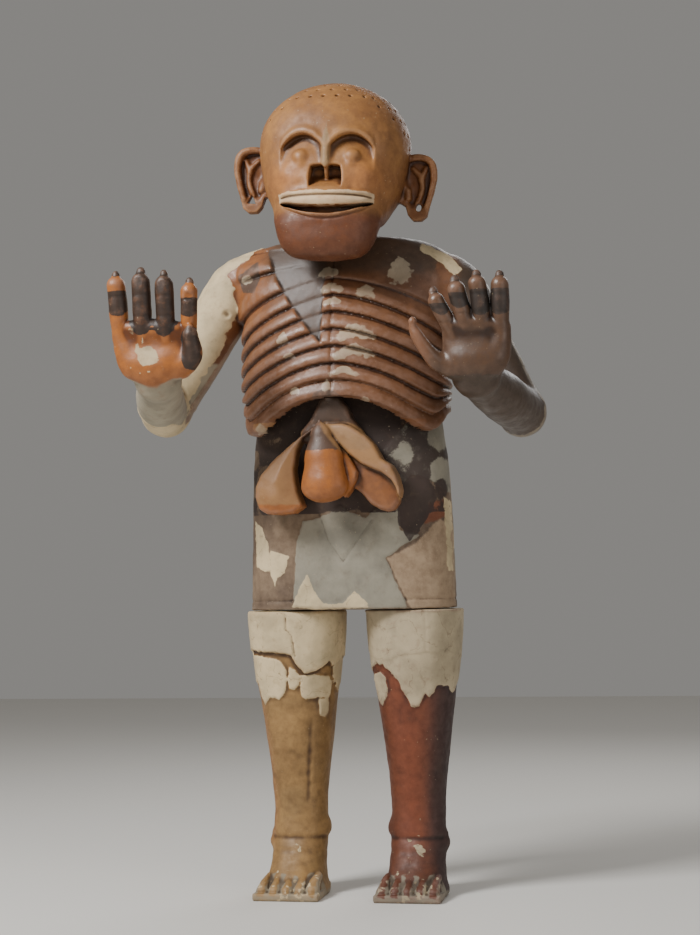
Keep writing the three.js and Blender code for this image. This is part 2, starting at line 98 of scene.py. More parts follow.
# Levels of the upright forms: height, half width, front, back, squareness.
HEAD_LEVELS = [
    (1356, 50, 262, 222, 2.3),
    (1366, 74, 272, 202, 2.5),
    (1384, 93, 280, 188, 2.7),
    (1405, 103, 284, 176, 2.7),
    (1432, 111, 286, 160, 2.6),
    (1446, 117, 286, 110, 2.5),
    (1462, 122, 285, 60, 2.4),
    (1476, 127, 284, 30, 2.3),
    (1490, 134, 284, 12, 2.25),
    (1515, 146, 281, -2, 2.2),
    (1560, 157, 274, -12, 2.2),
    (1600, 163, 273, -15, 2.2),
    (1620, 164, 271, -14, 2.2),
    (1700, 164, 264, -12, 2.1),
    (1760, 164, 258, -8, 2.0),
]
CHEST_LEVELS = [
    (980, 206, 178, -70, 2.3),
    (1029, 214, 192, -78, 2.35),
    (1089, 221, 198, -84, 2.35),
    (1150, 222, 196, -88, 2.35),
    (1215, 222, 190, -90, 2.35),
    (1270, 226, 181, -86, 2.3),
    (1320, 238, 170, -80, 2.3),
    (1360, 240, 158, -68, 2.25),
    (1390, 226, 145, -52, 2.2),
    (1410, 198, 136, -38, 2.15),
    (1422, 160, 130, -22, 2.1),
    (1430, 100, 122, -4, 2.0),
]
TRUNK_LEVELS = [
    (618, 229, 124, -92, 2.7),
    (680, 227, 128, -99, 2.7),
    (776, 226, 132, -100, 2.6),
    (860, 222, 136, -94, 2.6),
    (932, 218, 137, -85, 2.5),
    (1000, 211, 135, -76, 2.45),
    (1040, 205, 130, -68, 2.4),
    (1110, 194, 118, -54, 2.4),
]
LEG_LEVELS = [
    (10, 70, 134, -68, 2.5),
    (30, 70, 128, -70, 2.4),
    (48, 69, 110, -71, 2.3),
    (72, 67, 88, -70, 2.2),
    (100, 66, 70, -66, 2.2),
    (128, 66, 60, -62, 2.2),
    (200, 65, 54, -66, 2.2),
    (331, 78, 72, -92, 2.2),
    (441, 93, 88, -92, 2.2),
    (520, 102, 100, -98, 2.3),
    (584, 106, 106, -100, 2.4),
    (617.7, 107, 107, -98, 2.5),
]

# Arms: each finger is its foot, its tip and its radius; the thumb's stations carry a radius.
# Soot: the heights between which each finger is darkened.
ARMS = {
    -1: {
        "shoulder": (-248, 48, 1328),
        "elbow": (-420, 35, 1064),
        "wrist": (-346, 322, 1106),
        "palm": (-340, 374, 1212),
        "palm_half": 82,
        "fingers": [
            (-412, 372, 1205, -417, 388, 1318, 19),
            (-362, 376, 1200, -361, 394, 1322, 19),
            (-312, 376, 1200, -311, 394, 1316, 19),
            (-264, 372, 1205, -258, 388, 1298, 17),
        ],
        "thumb": [(-286, 362, 1130, 24), (-257, 376, 1152, 20), (-257, 390, 1194, 16)],
        "edge": [(-410, 370, 1205, 20), (-404, 368, 1170, 22), (-386, 362, 1134, 25)],
        "soot": [(1241, 1291), (1200, 1330), (1196, 1324), (1234, 1270)],
    },
    1: {
        "shoulder": (242, 48, 1312),
        "elbow": (382, 35, 1038),
        "wrist": (327, 322, 1090),
        "palm": (334, 374, 1190),
        "palm_half": 69,
        "fingers": [
            (385, 372, 1185, 386, 388, 1282, 18),
            (350, 376, 1188, 341, 394, 1284, 18),
            (316, 376, 1186, 296, 394, 1274, 18),
            (291, 372, 1172, 251, 388, 1254, 17),
        ],
        "thumb": [
            (292, 356, 1108, 26),
            (256, 370, 1120, 19),
            (233, 382, 1146, 14.5),
            (217, 388, 1172, 13),
            (210, 391, 1188, 9),
        ],
        "edge": [(384, 370, 1185, 19), (380, 368, 1150, 21), (366, 362, 1116, 25)],
        "soot": [(1210, 1259), (1210, 1259), (1226, 1254), (1214, 1236)],
    },
}


def smooth(start, end, x):
    t = np.clip((x - start) / (end - start), 0, 1)
    return t * t * (3 - 2 * t)


def bump(x, centre, width):
    return np.exp(-(((x - centre) / width) ** 2))


def level_curves(levels, z):
    """Half width, front, back and squareness at any heights, on smooth curves through the levels."""
    rows = np.array(levels, dtype=float)
    z = np.clip(z, rows[0, 0], rows[-1, 0])
    i = np.clip(np.searchsorted(rows[:, 0], z) - 1, 0, len(rows) - 2)
    before, after = rows[np.maximum(i - 1, 0)], rows[np.minimum(i + 2, len(rows) - 1)]
    a, b = rows[i], rows[i + 1]
    span = b[:, 0] - a[:, 0]
    t = (z - a[:, 0]) / span
    curves = []
    for k in range(1, 5):
        slope_a = (b[:, k] - before[:, k]) / (b[:, 0] - before[:, 0]) * span
        slope_b = (after[:, k] - a[:, k]) / (after[:, 0] - a[:, 0]) * span
        curves.append(
            (2 * t**3 - 3 * t**2 + 1) * a[:, k]
            + (t**3 - 2 * t**2 + t) * slope_a
            + (3 * t**2 - 2 * t**3) * b[:, k]
            + (t**3 - t**2) * slope_b
        )
    return curves


def inside_outline(x, z, outline):
    """Distance in from the edge of an outline drawn in the front view, negative outside it."""
    corners = np.array(outline, dtype=float)
    nearest = np.full(np.shape(x + z), 1e9)
    inside = np.zeros(np.shape(x + z), dtype=bool)
    for (ax, az), (bx, bz) in zip(corners, np.roll(corners, -1, axis=0)):
        nearest = np.minimum(nearest, line_distance(x, z, ax, az, bx, bz))
        crosses = (az > z) != (bz > z)
        inside ^= crosses & (x < (bx - ax) * (z - az) / (bz - az + 1e-9) + ax)
    return np.where(inside, nearest, -nearest)


def line_distance(x, z, ax, az, bx, bz):
    length = (bx - ax) ** 2 + (bz - az) ** 2 + 1e-9
    t = np.clip(((x - ax) * (bx - ax) + (z - az) * (bz - az)) / length, 0, 1)
    return np.hypot(x - ax - t * (bx - ax), z - az - t * (bz - az))


def near_line(x, z, line):
    """Distance to a drawn line in the front view."""
    pieces = zip(line, line[1:])
    return np.minimum.reduce([line_distance(x, z, *a, *b) for a, b in pieces])


def uneven(x, f, z, size, seed):
    """Soft random unevenness between -1 and 1, in lumps of the given size."""
    lattice = np.random.default_rng(seed).uniform(-1, 1, (24, 24, 24))
    total = 0
    cells = [np.floor(v / size + 500).astype(int) for v in (x, f, z)]
    parts = [smooth(0, 1, v / size + 500 - cell) for v, cell in zip((x, f, z), cells)]
    for corner in np.ndindex(2, 2, 2):
        weight = 1
        for part, far in zip(parts, corner):
            weight = weight * (part if far else 1 - part)
        place = tuple((cell + far) % 24 for cell, far in zip(cells, corner))
        total = total + weight * lattice[place]
    return total


class Block:
    """A block of clay on a grid of points: x to the right, f forward, z up, in millimetres."""

    def __init__(self, low, high, step):
        self.low, self.step = np.array(low, dtype=float), step
        counts = np.ceil((np.array(high) - self.low) / step).astype(int) + 1
        axes = [start + step * np.arange(n) for start, n in zip(self.low, counts)]
        self.axes = [axis.astype(np.float32) for axis in axes]
        self.d = np.full(counts, FAR, dtype=np.float32)

    def window(self, low=(-1e9,) * 3, high=(1e9,) * 3):
        """The part of the block between two corners, with the places of its points."""
        cuts = [
            slice(*np.searchsorted(axis, (a, b)))
            for axis, a, b in zip(self.axes, low, high)
        ]
        x, f, z = (axis[cut] for axis, cut in zip(self.axes, cuts))
        return tuple(cuts), x[:, None, None], f[None, :, None], z[None, None, :]

    def add(self, cuts, shape, blend=0.0):
        """Puts clay on, with a fillet of about the size given where it meets what is there."""
        self.d[cuts] = softer_least(self.d[cuts], shape, blend)

    def cut(self, cuts, shape, blend=0.0):
        self.d[cuts] = -softer_least(-self.d[cuts], shape, blend)

    def near(self, reach=14, low=(-1e9,) * 3, high=(1e9,) * 3):
        """The block's points near the surface: their index and places."""
        cuts, *_ = self.window(low, high)
        index = np.nonzero(np.abs(self.d[cuts]) < reach)
        index = tuple(i + (cut.start or 0) for i, cut in zip(index, cuts))
        return index, [axis[i].astype(float) for axis, i in zip(self.axes, index)]

    def model(self, relief, reach=14, low=(-1e9,) * 3, high=(1e9,) * 3):
        """Raises or presses the surface by a relief in millimetres, given by place."""
        index, (x, f, z) = self.near(reach, low, high)
        self.d[index] -= relief(x, f, z).astype(np.float32)

    def even_out(self):
        """Turns a rough level into true distances near the surface."""
        slope = np.sqrt(sum(g * g for g in np.gradient(self.d, self.step)))
        self.d = np.clip(self.d / np.maximum(slope, 0.25), -FAR, FAR).astype(np.float32)

    def worn_shape(self, radius):
        """The block's distances blurred over a radius: they fall below the true ones in a hollow."""
        blurred = self.d
        half = max(1, round(radius / self.step))
        for axis in range(3):
            pad = [(half + 1, half) if a == axis else (0, 0) for a in range(3)]
            total = np.cumsum(np.pad(blurred, pad, mode="edge"), axis=axis)
            ahead = np.take(total, range(2 * half + 1, total.shape[axis]), axis=axis)
            behind = np.take(total, range(0, total.shape[axis] - 2 * half - 1), axis=axis)
            blurred = (ahead - behind) / (2 * half + 1)
        return blurred


def softer_least(a, b, blend):
    if blend <= 0:
        return np.minimum(a, b)
    share = np.clip(0.5 + 0.5 * (b - a) / blend, 0, 1)
    return b + (a - b) * share - blend * share * (1 - share)


def form(levels, x, f, z):
    """The rough level of a form that follows a table of levels, and its size at each height."""
    half, front, back, square = (c[None, None, :] for c in level_curves(levels, z.ravel()))
    middle, reach = (front + back) / 2, (front - back) / 2
    across, ahead = np.abs(x) / half, np.abs(f - middle) / reach
    return (across**square + ahead**square) ** (1 / square), np.minimum(half, reach)


def upright(block, levels, crown=None):
    """Fills the block with a form that follows a table of levels, domed from the crown height up."""
    cuts, x, f, z = block.window()
    ratio, size = form(levels, x, f, z)
    if crown:
        rise = np.clip((z - crown) / (HEIGHT - crown), 0, None)
        ratio = np.sqrt(ratio**2 + rise**2)
    block.d = ((ratio - 1) * size).astype(np.float32)
    block.even_out()


def turn_round(levels, x, f, z):
    """The turn about an upright form, 0 at its front and positive to the right."""
    half, front, back, square = level_curves(levels, np.ravel(z))
    shape = np.shape(z)
    half, front, back, square = (c.reshape(shape) for c in (half, front, back, square))
    middle, reach = (front + back) / 2, (front - back) / 2
    across = np.sign(x) * (np.abs(x) / half) ** (square / 2)
    ahead = np.sign(f - middle) * (np.abs(f - middle) / reach) ** (square / 2)
    return np.arctan2(across, ahead)


def bar(block, stations, blend=6.0, side=(1, 0, 0), rows=10):
    """Adds a round or oval bar along stations of x, f, z, radius and, where oval, its second radius."""
    rows_in = np.array([s if len(s) == 5 else (*s, s[3]) for s in stations], dtype=float)
    ends = np.vstack([2 * rows_in[0] - rows_in[1], rows_in, 2 * rows_in[-1] - rows_in[-2]])
    samples = []
    for place in np.linspace(0, len(rows_in) - 1, rows + 1):
        i = min(int(place), len(rows_in) - 2)
        t = place - i
        p = ends[i : i + 4]
        curve = 0.5 * (
            2 * p[1]
            + (p[2] - p[0]) * t
            + (2 * p[0] - 5 * p[1] + 4 * p[2] - p[3]) * t**2
            + (3 * p[1] - p[0] - 3 * p[2] + p[3]) * t**3
        )
        share = smooth(0, 1, t)
        curve[3:] = p[1, 3:] * (1 - share) + p[2, 3:] * share
        samples.append(curve)
    samples = np.array(samples)
    margin = samples[:, 3:].max() + 16
    cuts, x, f, z = block.window(samples[:, :3].min(0) - margin, samples[:, :3].max(0) + margin)
    shape = np.full(np.broadcast(x, f, z).shape, FAR, dtype=np.float32)
    for a, b in zip(samples, samples[1:]):
        along = b[:3] - a[:3]
        length = np.linalg.norm(along)
        along /= length
        across = np.array(side, dtype=float)
        across -= across @ along * along
        across /= np.linalg.norm(across)
        up = np.cross(across, along)
        at = (x - a[0], f - a[1], z - a[2])
        run, wide, deep = (
            at[0] * v[0] + at[1] * v[1] + at[2] * v[2] for v in (along, across, up)
        )
        t = np.clip(run / length, 0, 1)
        radius_a = a[3] + (b[3] - a[3]) * t
        radius_b = a[4] + (b[4] - a[4]) * t
        over = run - t * length
        least = np.minimum(radius_a, radius_b)
        ratio = np.sqrt((wide / radius_a) ** 2 + (deep / radius_b) ** 2 + (over / least) ** 2)
        size = np.sqrt(wide**2 + deep**2 + over**2) / np.maximum(ratio, 1e-3)
        shape = np.minimum(shape, (ratio - 1) * np.clip(size, least, None))
    block.add(cuts, shape, blend)


def ball(block, place, radii, blend=4.0, take=False):
    """Adds or takes away an egg shape."""
    place, radii = np.array(place, dtype=float), np.array(radii, dtype=float)
    reach = radii + 16
    cuts, x, f, z = block.window(place - reach, place + reach)
    ratio = np.sqrt(
        sum(((v - p) / r) ** 2 for v, p, r in zip((x, f, z), place, radii))
    )
    shape = (ratio - 1) * radii.min()
    (block.cut if take else block.add)(cuts, shape, blend)


# The ribs

TURNS = np.linspace(-math.pi, math.pi, 361)
BONE_HEIGHTS = np.linspace(960, 1440, 961)


def rib_fall(turn, bone_height):
    """How far a rib falls from the breastbone to the turn: the lowest ribs rise again behind."""
    upper = RIB_FALL * np.abs(np.sin(turn * 0.87)) ** 1.25
    aside = np.abs(turn)
    lower = RIM_FALL * smooth(0, 1.15, aside) - 44 * smooth(1.1, 1.7, aside)
    low = smooth(RIM_HEIGHT + 4 * RIB_PITCH, RIM_HEIGHT, bone_height)
    return (upper + (lower - upper) * low) * (1 - smooth(RIB_TOP - 60, RIB_TOP + 45, bone_height))


def bone_height_table():
    """For each turn, the breastbone height of the rib that passes each height."""
    table = []
    for turn in TURNS:
        heights = BONE_HEIGHTS - rib_fall(turn, BONE_HEIGHTS)
        table.append(np.interp(BONE_HEIGHTS, heights, BONE_HEIGHTS))
    return np.array(table)


BONE_TABLE = bone_height_table()


def bone_height(turn, z):
    i = np.clip(np.round((turn + math.pi) / (2 * math.pi) * 360).astype(int), 0, 360)
    j = np.clip(np.round((z - 960) * 2).astype(int), 0, 960)
    return BONE_TABLE[i, j]


def rib_place(x, f, z):
    """Which rib a place lies on, counted down from the top, and how far down that rib."""
    turn = turn_round(CHEST_LEVELS, x, f, z)
    place = (RIB_TOP - bone_height(turn, z)) / RIB_PITCH
    return place, turn


# Outlines in the front view, x and z in millimetres, of what is worn, mended or coated.

CHEST_MEND = [(-160, 1410), (-18, 1396), (-26, 1190), (-52, 1218), (-95, 1276), (-130, 1335)]
SHOULDER_GREY = [(-228, 1352), (-176, 1384), (-170, 1340), (-184, 1310), (-216, 1316)]
ARM_LIME = [
    (-176, 1424),
    (-222, 1384),
    (-254, 1360),
    (-238, 1324),
    (-232, 1282),
    (-256, 1238),
    (-292, 1180),
    (-352, 1090),
    (-400, 960),
    (-520, 940),
    (-520, 1440),
    (-300, 1460),
]
SHOULDER_LIME = [(176, 1412), (239, 1380), (268, 1345), (252, 1332), (226, 1360), (178, 1392)]
APRON = [
    (-86, 812),
    (-104, 761),
    (-114, 628),
    (13, 622),
    (138, 622),
    (92, 729),
    (166, 777),
    (125, 789),
    (122, 842),
    (73, 837),
    (53, 816),
    (19, 829),
    (-3, 845),
    (-25, 830),
    (-52, 818),
]
HEM_LIME = [
    [(-116, 628), (-100, 664), (-80, 695), (-63, 659), (-44, 634), (48, 632), (56, 624), (-60, 620)],
    [(-8, 628), (24, 660), (56, 630)],
    [(-206, 815), (-186, 800), (-171, 763), (-163, 708), (-180, 704), (-204, 716)],
    [(-167, 752), (-121, 736), (-133, 701), (-150, 690), (-156, 672), (-166, 700)],
    [(212, 860), (222, 850), (226, 700), (218, 700), (214, 800)],
]
HIP_DARK = [
    (128, 888),
    (152, 906),
    (184, 897),
    (201, 869),
    (192, 831),
    (166, 788),
    (145, 765),
    (122, 799),
    (120, 853),
]
HIP_RED = [(187, 845), (214, 856), (216, 816), (176, 800), (170, 806)]
HIP_TAN = [
    (96, 729),
    (155, 757),
    (205, 812),
    (232, 800),
    (236, 622),
    (146, 620),
    (112, 690),
]
SIDE_GREY = [
    (118, 990),
    (160, 1040),
    (240, 1030),
    (240, 854),
    (214, 874),
    (188, 897),
    (152, 907),
    (127, 882),
    (100, 930),
    (96, 960),
]
RIGHT_LOBE = [
    (-46, 1014),
    (-98, 976),
    (-131, 948),
    (-165, 911),
    (-176, 885),
    (-176, 862),
    (-166, 837),
    (-149, 827),
    (-127, 825),
    (-92, 828),
    (-72, 842),
    (-82, 869),
    (-88, 896),
    (-90, 920),
    (-84, 962),
    (-72, 989),
    (-40, 1006),
]
LEFT_LOBE = [
    (-25, 1018),
    (10, 1015),
    (48, 997),
    (80, 969),
    (96, 937),
    (117, 922),
    (129, 899),
    (137, 870),
    (133, 845),
    (122, 830),
    (109, 827),
    (94, 831),
    (72, 843),
    (51, 868),
    (30, 882),
    (9, 928),
]
LEFT_RIM = [
    (-22, 1018),
    (-6, 1016),
    (16, 1016),
    (32, 1011),
    (53, 998),
    (69, 986),
    (85, 970),
    (101, 939),
    (122, 924),
    (133, 902),
    (141, 871),
    (138, 855),
    (131, 877),
    (121, 893),
    (100, 911),
    (57, 929),
    (36, 946),
    (7, 974),
    (-12, 998),
]
GALL_EDGE = [(-14, 998), (8, 972), (34, 942), (50, 912), (48, 898), (34, 874), (20, 856), (0, 900)]
WEDGE = [
    (-34, 1074),
    (-14, 1084),
    (6, 1074),
    (24, 1052),
    (34, 1027),
    (54, 1000),
    (76, 966),
    (-60, 968),
    (-84, 985),
    (-80, 1004),
    (-56, 1032),
    (-46, 1052),
]
LIME_LEFTS = [
    (-12, 1346, 24, 13),
    (-4, 1311, 28, 11),
    (71, 1298, 22, 14),
    (0, 1282, 20, 9),
    (50, 1214, 44, 16),
    (46, 1172, 44, 13),
    (24, 1130, 30, 9),
    (-112, 1204, 12, 14),
    (-96, 1166, 16, 6),
    (-84, 1090, 12, 8),
    (-170, 1012, 15, 11),
    (70, 1067, 10, 6),
    (139, 990, 16, 7),
    (-14, 1098, 10, 15),
    (140, 1345, 24, 30),
    (-205, 1345, 14, 10),
]
# Lower edges of the legs' lime coat: turn in degrees from the leg's front, and height.
COAT_EDGES = {
    -1: [
        (-180, 462),
        (-150, 430),
        (-120, 476),
        (-95, 440),
        (-78, 466),
        (-65, 456),
        (-58, 434),
        (-47, 409),
        (-36, 436),
        (-22, 442),
        (-12, 434),
        (-4, 474),
        (5, 450),
        (11, 462),
        (15, 431),
        (29, 427),
        (52, 440),
        (62, 472),
        (90, 440),
        (120, 482),
        (150, 446),
        (180, 462),
    ],
    1: [
        (-180, 455),
        (-150, 482),
        (-120, 450),
        (-90, 478),
        (-66, 492),
        (-50, 505),
        (-37, 499),
        (-32, 490),
        (-16, 467),
        (-10, 440),
        (2, 411),
        (15, 409),
        (24, 438),
        (30, 430),
        (43, 453),
        (61, 450),
        (75, 436),
        (100, 470),
        (130, 428),
        (155, 470),
        (180, 455),
    ],
}
BAND_EDGES = {
    -1: [
        (-180, 540),
        (-120, 522),
        (-66, 533),
        (-40, 530),
        (-17, 528),
        (4, 523),
        (8, 508),
        (15, 494),
        (21, 483),
        (35, 486),
        (47, 499),
        (56, 508),
        (62, 498),
        (90, 520),
        (130, 508),
        (180, 540),
    ],
    1: [(-180, 520), (-90, 534), (-64, 520), (-33, 506), (-10, 521), (27, 527), (62, 518), (120, 505), (180, 520)],
}
LEG_SCALES = {
    -1: [
        [
            (-222, 520),
            (-200, 521),
            (-168, 515),
            (-148, 507),
            (-139, 491),
            (-138, 469),
            (-143, 441),
            (-158, 424),
            (-167, 430),
            (-183, 429),
            (-195, 412),
            (-205, 429),
            (-212, 456),
            (-226, 489),
        ],
        [(-131, 495), (-117, 491), (-110, 477), (-110, 460), (-123, 447), (-134, 450), (-135, 469)],
        [
            (-107, 477),
            (-77, 480),
            (-50, 474),
            (-46, 459),
            (-48, 438),
            (-56, 427),
            (-80, 429),
            (-99, 425),
            (-108, 433),
            (-109, 452),
        ],
        [(-74, 425), (-57, 429), (-57, 400), (-64, 384), (-73, 391)],
    ],
    1: [[(48, 479), (66, 484), (79, 472), (82, 450), (77, 429), (67, 410), (57, 420), (50, 443), (44, 465)]],
}


def leg_turn(side, x, f):
    return np.degrees(np.arctan2(x - side * LEG_SPREAD, f - 2))


def edge_height(edges, turn):
    degrees, heights = zip(*edges)
    return np.interp(turn, degrees, heights)


def leg_coat(side, x, f, z):
    """How far a place on a leg lies inside the lime coat's torn edge."""
    turn = leg_turn(side, x, f)
    ragged = 4 * uneven(x, f, z, 9, 3) + 2 * uneven(x, f, z, 4, 4)
    coat = (z - edge_height(COAT_EDGES[side], turn)) * 0.8 + ragged
    scales = np.maximum.reduce([inside_outline(x, z, o) for o in LEG_SCALES[side]]) + 0.4 * ragged
    if side < 0:
        ahead = (np.abs(turn) < 66) & (f > 10)
        return np.where(ahead, np.maximum(scales, leg_band(side, x, f, z)), coat)
    return np.where(f > 10, np.maximum(coat, scales), coat)


def leg_band(side, x, f, z):
    """How far a place lies inside the thicker band of lime round the top of a thigh."""
    turn = leg_turn(side, x, f)
    return (z - edge_height(BAND_EDGES[side], turn)) * 0.9 + 2.5 * uneven(x, f, z, 7, 5)


# Carving


def carve_head(step):
    block = Block((-240, -28, 1346), (240, 312, 1768), step)
    upright(block, HEAD_LEVELS, CROWN_START)
    cuts, x, f, z = block.window()
    block.d = -softer_least(-block.d, z - 1356, 16)
    rise = sum(v * share for v, share in zip((x, f - 110, z - NECK_HEIGHT), head_rise()))
    neck = np.hypot(x - 8, (f - 74 - 0.25 * (z - NECK_HEIGHT)) * 0.98) - 68
    block.add(cuts, np.maximum(neck, np.maximum(0.3 - rise, z - 1520)), blend=6)
    block.model(head_relief, reach=26)
    for side in (-1, 1):
        ball(block, (side * EYE_SPACING / 2, 250, EYE_HEIGHT), (21, 22, 18), blend=3)
        ball(block, (side * EYE_SPACING / 2, 262, EYE_HEIGHT - 13), (8, 8, 9), blend=9)
        carve_ear(block, side)
    carve_nose(block)
    carve_mouth(block)
    block.model(lambda x, f, z: 0.9 * uneven(x, f, z, 34, 11) + 0.35 * uneven(x, f, z, 11, 12))
    for place, outward in scalp_holes():
        ball(block, place - 1.5 * outward, (3.9, 3.9, 3.9), blend=0.8, take=True)
        ball(block, place - 5.0 * outward, (3.4, 3.4, 3.4), blend=0, take=True)
    return block


def head_relief(x, f, z):
    aside = np.abs(x)
    front = smooth(130, 205, f)
    under = 1624 - 0.0125 * (aside - 53) ** 2 - z
    span = np.clip(1 - (np.abs(aside - 53) / 48) ** 4, 0, 1)
    socket = -19 * smooth(-2, 4, under) * np.exp(-((np.maximum(under - 4, 0) / 34) ** 2)) * span
    brow = 4 * np.exp(-(((under + 9) / 10) ** 2)) * np.sqrt(span)
    bridge = 4 * bump(x, 0, 9) * smooth(1632, 1606, z) * smooth(1550, 1562, z)
    cheek = 7 * bump(aside, 88, 26) * bump(z, 1543, 24)
    beside = -3 * bump(aside, 52, 16) * bump(z, 1512, 14)
    across = x / MOUTH_HALF
    lips = smooth(106, 96, aside)
    strip = 3.2 * bump(z, 1497 - 2 * across**4, 4.5) * smooth(104, 92, aside)
    upper_line = -5 * bump(z, 1490.5 - 3 * across**4, 2.4) * smooth(101, 94, aside)
    upper_lip = 6 * bump(z, 1480 + across**2, 10 - 5 * across**2) * smooth(101, 80, aside)
    lower = 1441 + 33 * across**2
    lower_lip = 4 * bump(z, lower + 6, 6) * smooth(100, 84, aside)
    lower_line = -3 * bump(z, lower - 1, 2.6) * smooth(96, 88, aside)
    muzzle = 3 * bump(z, 1465, 36) * smooth(126, 84, aside)
    chin = 3 * bump(z, 1398, 22) * bump(x, 0, 60)
    face = socket + brow + bridge + cheek + beside + strip + upper_line + upper_lip
    return front * (face + lower_lip + lower_line + muzzle + chin)


def carve_nose(block):
    """The bare nose opening: two dark hollows beside a thin wall, over a floor that slopes out."""
    cuts, x, f, z = block.window((-60, 190, 1480), (60, 300, 1580))
    top = 1557 - 0.012 * (np.abs(x) - 15) ** 2 - 5 * bump(x, 0, 5)
    outline = np.maximum(np.abs(x) - 34 + 0.0035 * (z - 1524) ** 2, np.maximum(z - top, 1500 - z))
    floor = 284 - 46 * smooth(1499, 1540, z)
    block.cut(cuts, np.maximum(outline, (floor - f) * 0.8), blend=4)
    wall = np.maximum(np.abs(x) - 3.6, np.maximum(np.abs(z - 1540) - 28, f - 268 + 0.7 * (1556 - z)))
    block.add(cuts, wall, blend=3)


def carve_mouth(block):
    cuts, x, f, z = block.window((-125, 150, 1420), (125, 310, 1510))
    across = x / MOUTH_HALF
    middle = 1459.5 + 17.5 * across**2
    half = 8.6 * np.sqrt(np.clip(1 - across**2, 0, 1)) - 14 * np.clip(np.abs(across) - 1, 0, None)
    depth = 250 - 62 * across**2
    block.cut(cuts, np.maximum(np.abs(z - middle) - half, depth - f), blend=2)


def carve_ear(block, side):
    """A flat ear with a rolled rim, a forked ridge inside it and a pierced lobe."""
    drop = side * EAR_DROP
    outline = [
        (side * x, z - drop)
        for x, z in [
            (140, 1606),
            (172, 1617),
            (200, 1613),
            (221, 1594),
            (224, 1566),
            (217, 1530),
            (209, 1500),
            (204, 1478),
            (190, 1467),
            (170, 1468),
            (158, 1481),
            (152, 1500),
            (138, 1510),
        ]
    ]
    low, high = sorted((side * 120, side * 240))
    cuts, x, f, z = block.window((low, 90, 1440), (high, 150, 1640))
    edge = inside_outline(x, z, outline)
    hollow = 9 * smooth(9, 17, edge) * smooth(1492 - drop, 1512 - drop, z)
    plate = np.maximum(5 - edge, np.abs(f - 121 + hollow / 2) - 8.5 + hollow / 2)
    block.add(cuts, plate - 2.5, blend=7)
    rim = [
        (150, 128, 1600, 6),
        (180, 130, 1608, 7.5),
        (208, 130, 1598, 8),
        (216, 129, 1566, 7.5),
        (209, 129, 1528, 7),
        (200, 129, 1500, 6),
    ]
    bar(block, [(side * x, f, z - drop, r) for x, f, z, r in rim], blend=4, rows=14)
    ridge = [(170, 124, 1584, 5), (186, 126, 1566, 6), (190, 126, 1538, 6), (180, 126, 1508, 6)]
    bar(block, [(side * x, f, z - drop, r) for x, f, z, r in ridge], blend=5, rows=8)
    fork = [(198, 124, 1586, 4.5), (188, 126, 1560, 5.5)]
    bar(block, [(side * x, f, z - drop, r) for x, f, z, r in fork], blend=5, rows=3)
    bar(block, [(side * 156, 126, 1550 - drop, 9), (side * 160, 128, 1520 - drop, 8)], blend=8, rows=3)
    ball(block, (side * 166, 134, 1556 - drop), (11, 12, 17), blend=4, take=True)
    cuts, x, f, z = block.window((low, 90, 1470), (high, 160, 1530))
    across, above = np.abs(np.abs(x) - 183), z - (1499 - drop)
    if side < 0:
        hole = np.maximum(across * 0.9 + above * 0.45 - 5, -above - 9)
    else:
        hole = (np.sqrt((across / 5.5) ** 2 + (above / 8) ** 2) - 1) * 5.5
    block.cut(cuts, hole + 0 * f, blend=2)


def head_pose():
    """The head's lean and turn about its foot, as rows of x, f and z."""
    roll, yaw = math.radians(HEAD_ROLL), math.radians(HEAD_YAW)
    lean = np.array(
        [[math.cos(roll), 0, math.sin(roll)], [0, 1, 0], [-math.sin(roll), 0, math.cos(roll)]]
    )
    turn = np.array(
        [[math.cos(yaw), math.sin(yaw), 0], [-math.sin(yaw), math.cos(yaw), 0], [0, 0, 1]]
    )
    return turn @ lean


def posed_head(points):
    pivot = np.array([0, 110, NECK_HEIGHT])
    return (points - pivot) @ head_pose().T + pivot + np.array([HEAD_SHIFT, 0, 0])


def head_rise():
    """How the height above ground grows over the unposed head."""
    return head_pose()[2]


def scalp_holes():
    """Holes for the lost hair, in rings behind the hairline: each place and its outward direction."""
    scatter = np.random.default_rng(7)
    holes = []
    for ring, z in enumerate((1584, 1612, 1640, 1668, 1692, 1713, 1731, 1745, 1755)):
        rise = max(0, (z - CROWN_START) / (HEIGHT - CROWN_START))
        shrink = math.sqrt(1 - rise**2)
        half, front, back, square = (c[0] for c in level_curves(HEAD_LEVELS, np.array([z])))
        middle, reach = (front + back) / 2, (front - back) / 2 * shrink
        half = half * shrink
        count = max(5, round(2 * math.pi * (half + reach) / 2 / 27))
        for i in range(count):
            turn = 2 * math.pi * (i + 0.5 * (ring % 2)) / count + scatter.uniform(-0.03, 0.03)
            turn = (turn + math.pi) % (2 * math.pi) - math.pi
            hairline = 1709 - 112 * smooth(0.45, 1.75, abs(turn)) - 60 * smooth(1.7, 2.6, abs(turn))
            height = z + scatter.uniform(-3, 3)
            if height < hairline:
                continue
            s, c = math.sin(turn), math.cos(turn)
            x = half * math.copysign(abs(s) ** (2 / square), s)
            f = middle + reach * math.copysign(abs(c) ** (2 / square), c)
            outward = np.array([x / half**2, (f - middle) / reach**2, 0])
            outward /= np.linalg.norm(outward)
            outward = outward * shrink + np.array([0, 0, rise])
            holes.append((np.array([x, f, z]), outward / np.linalg.norm(outward)))
    return holes


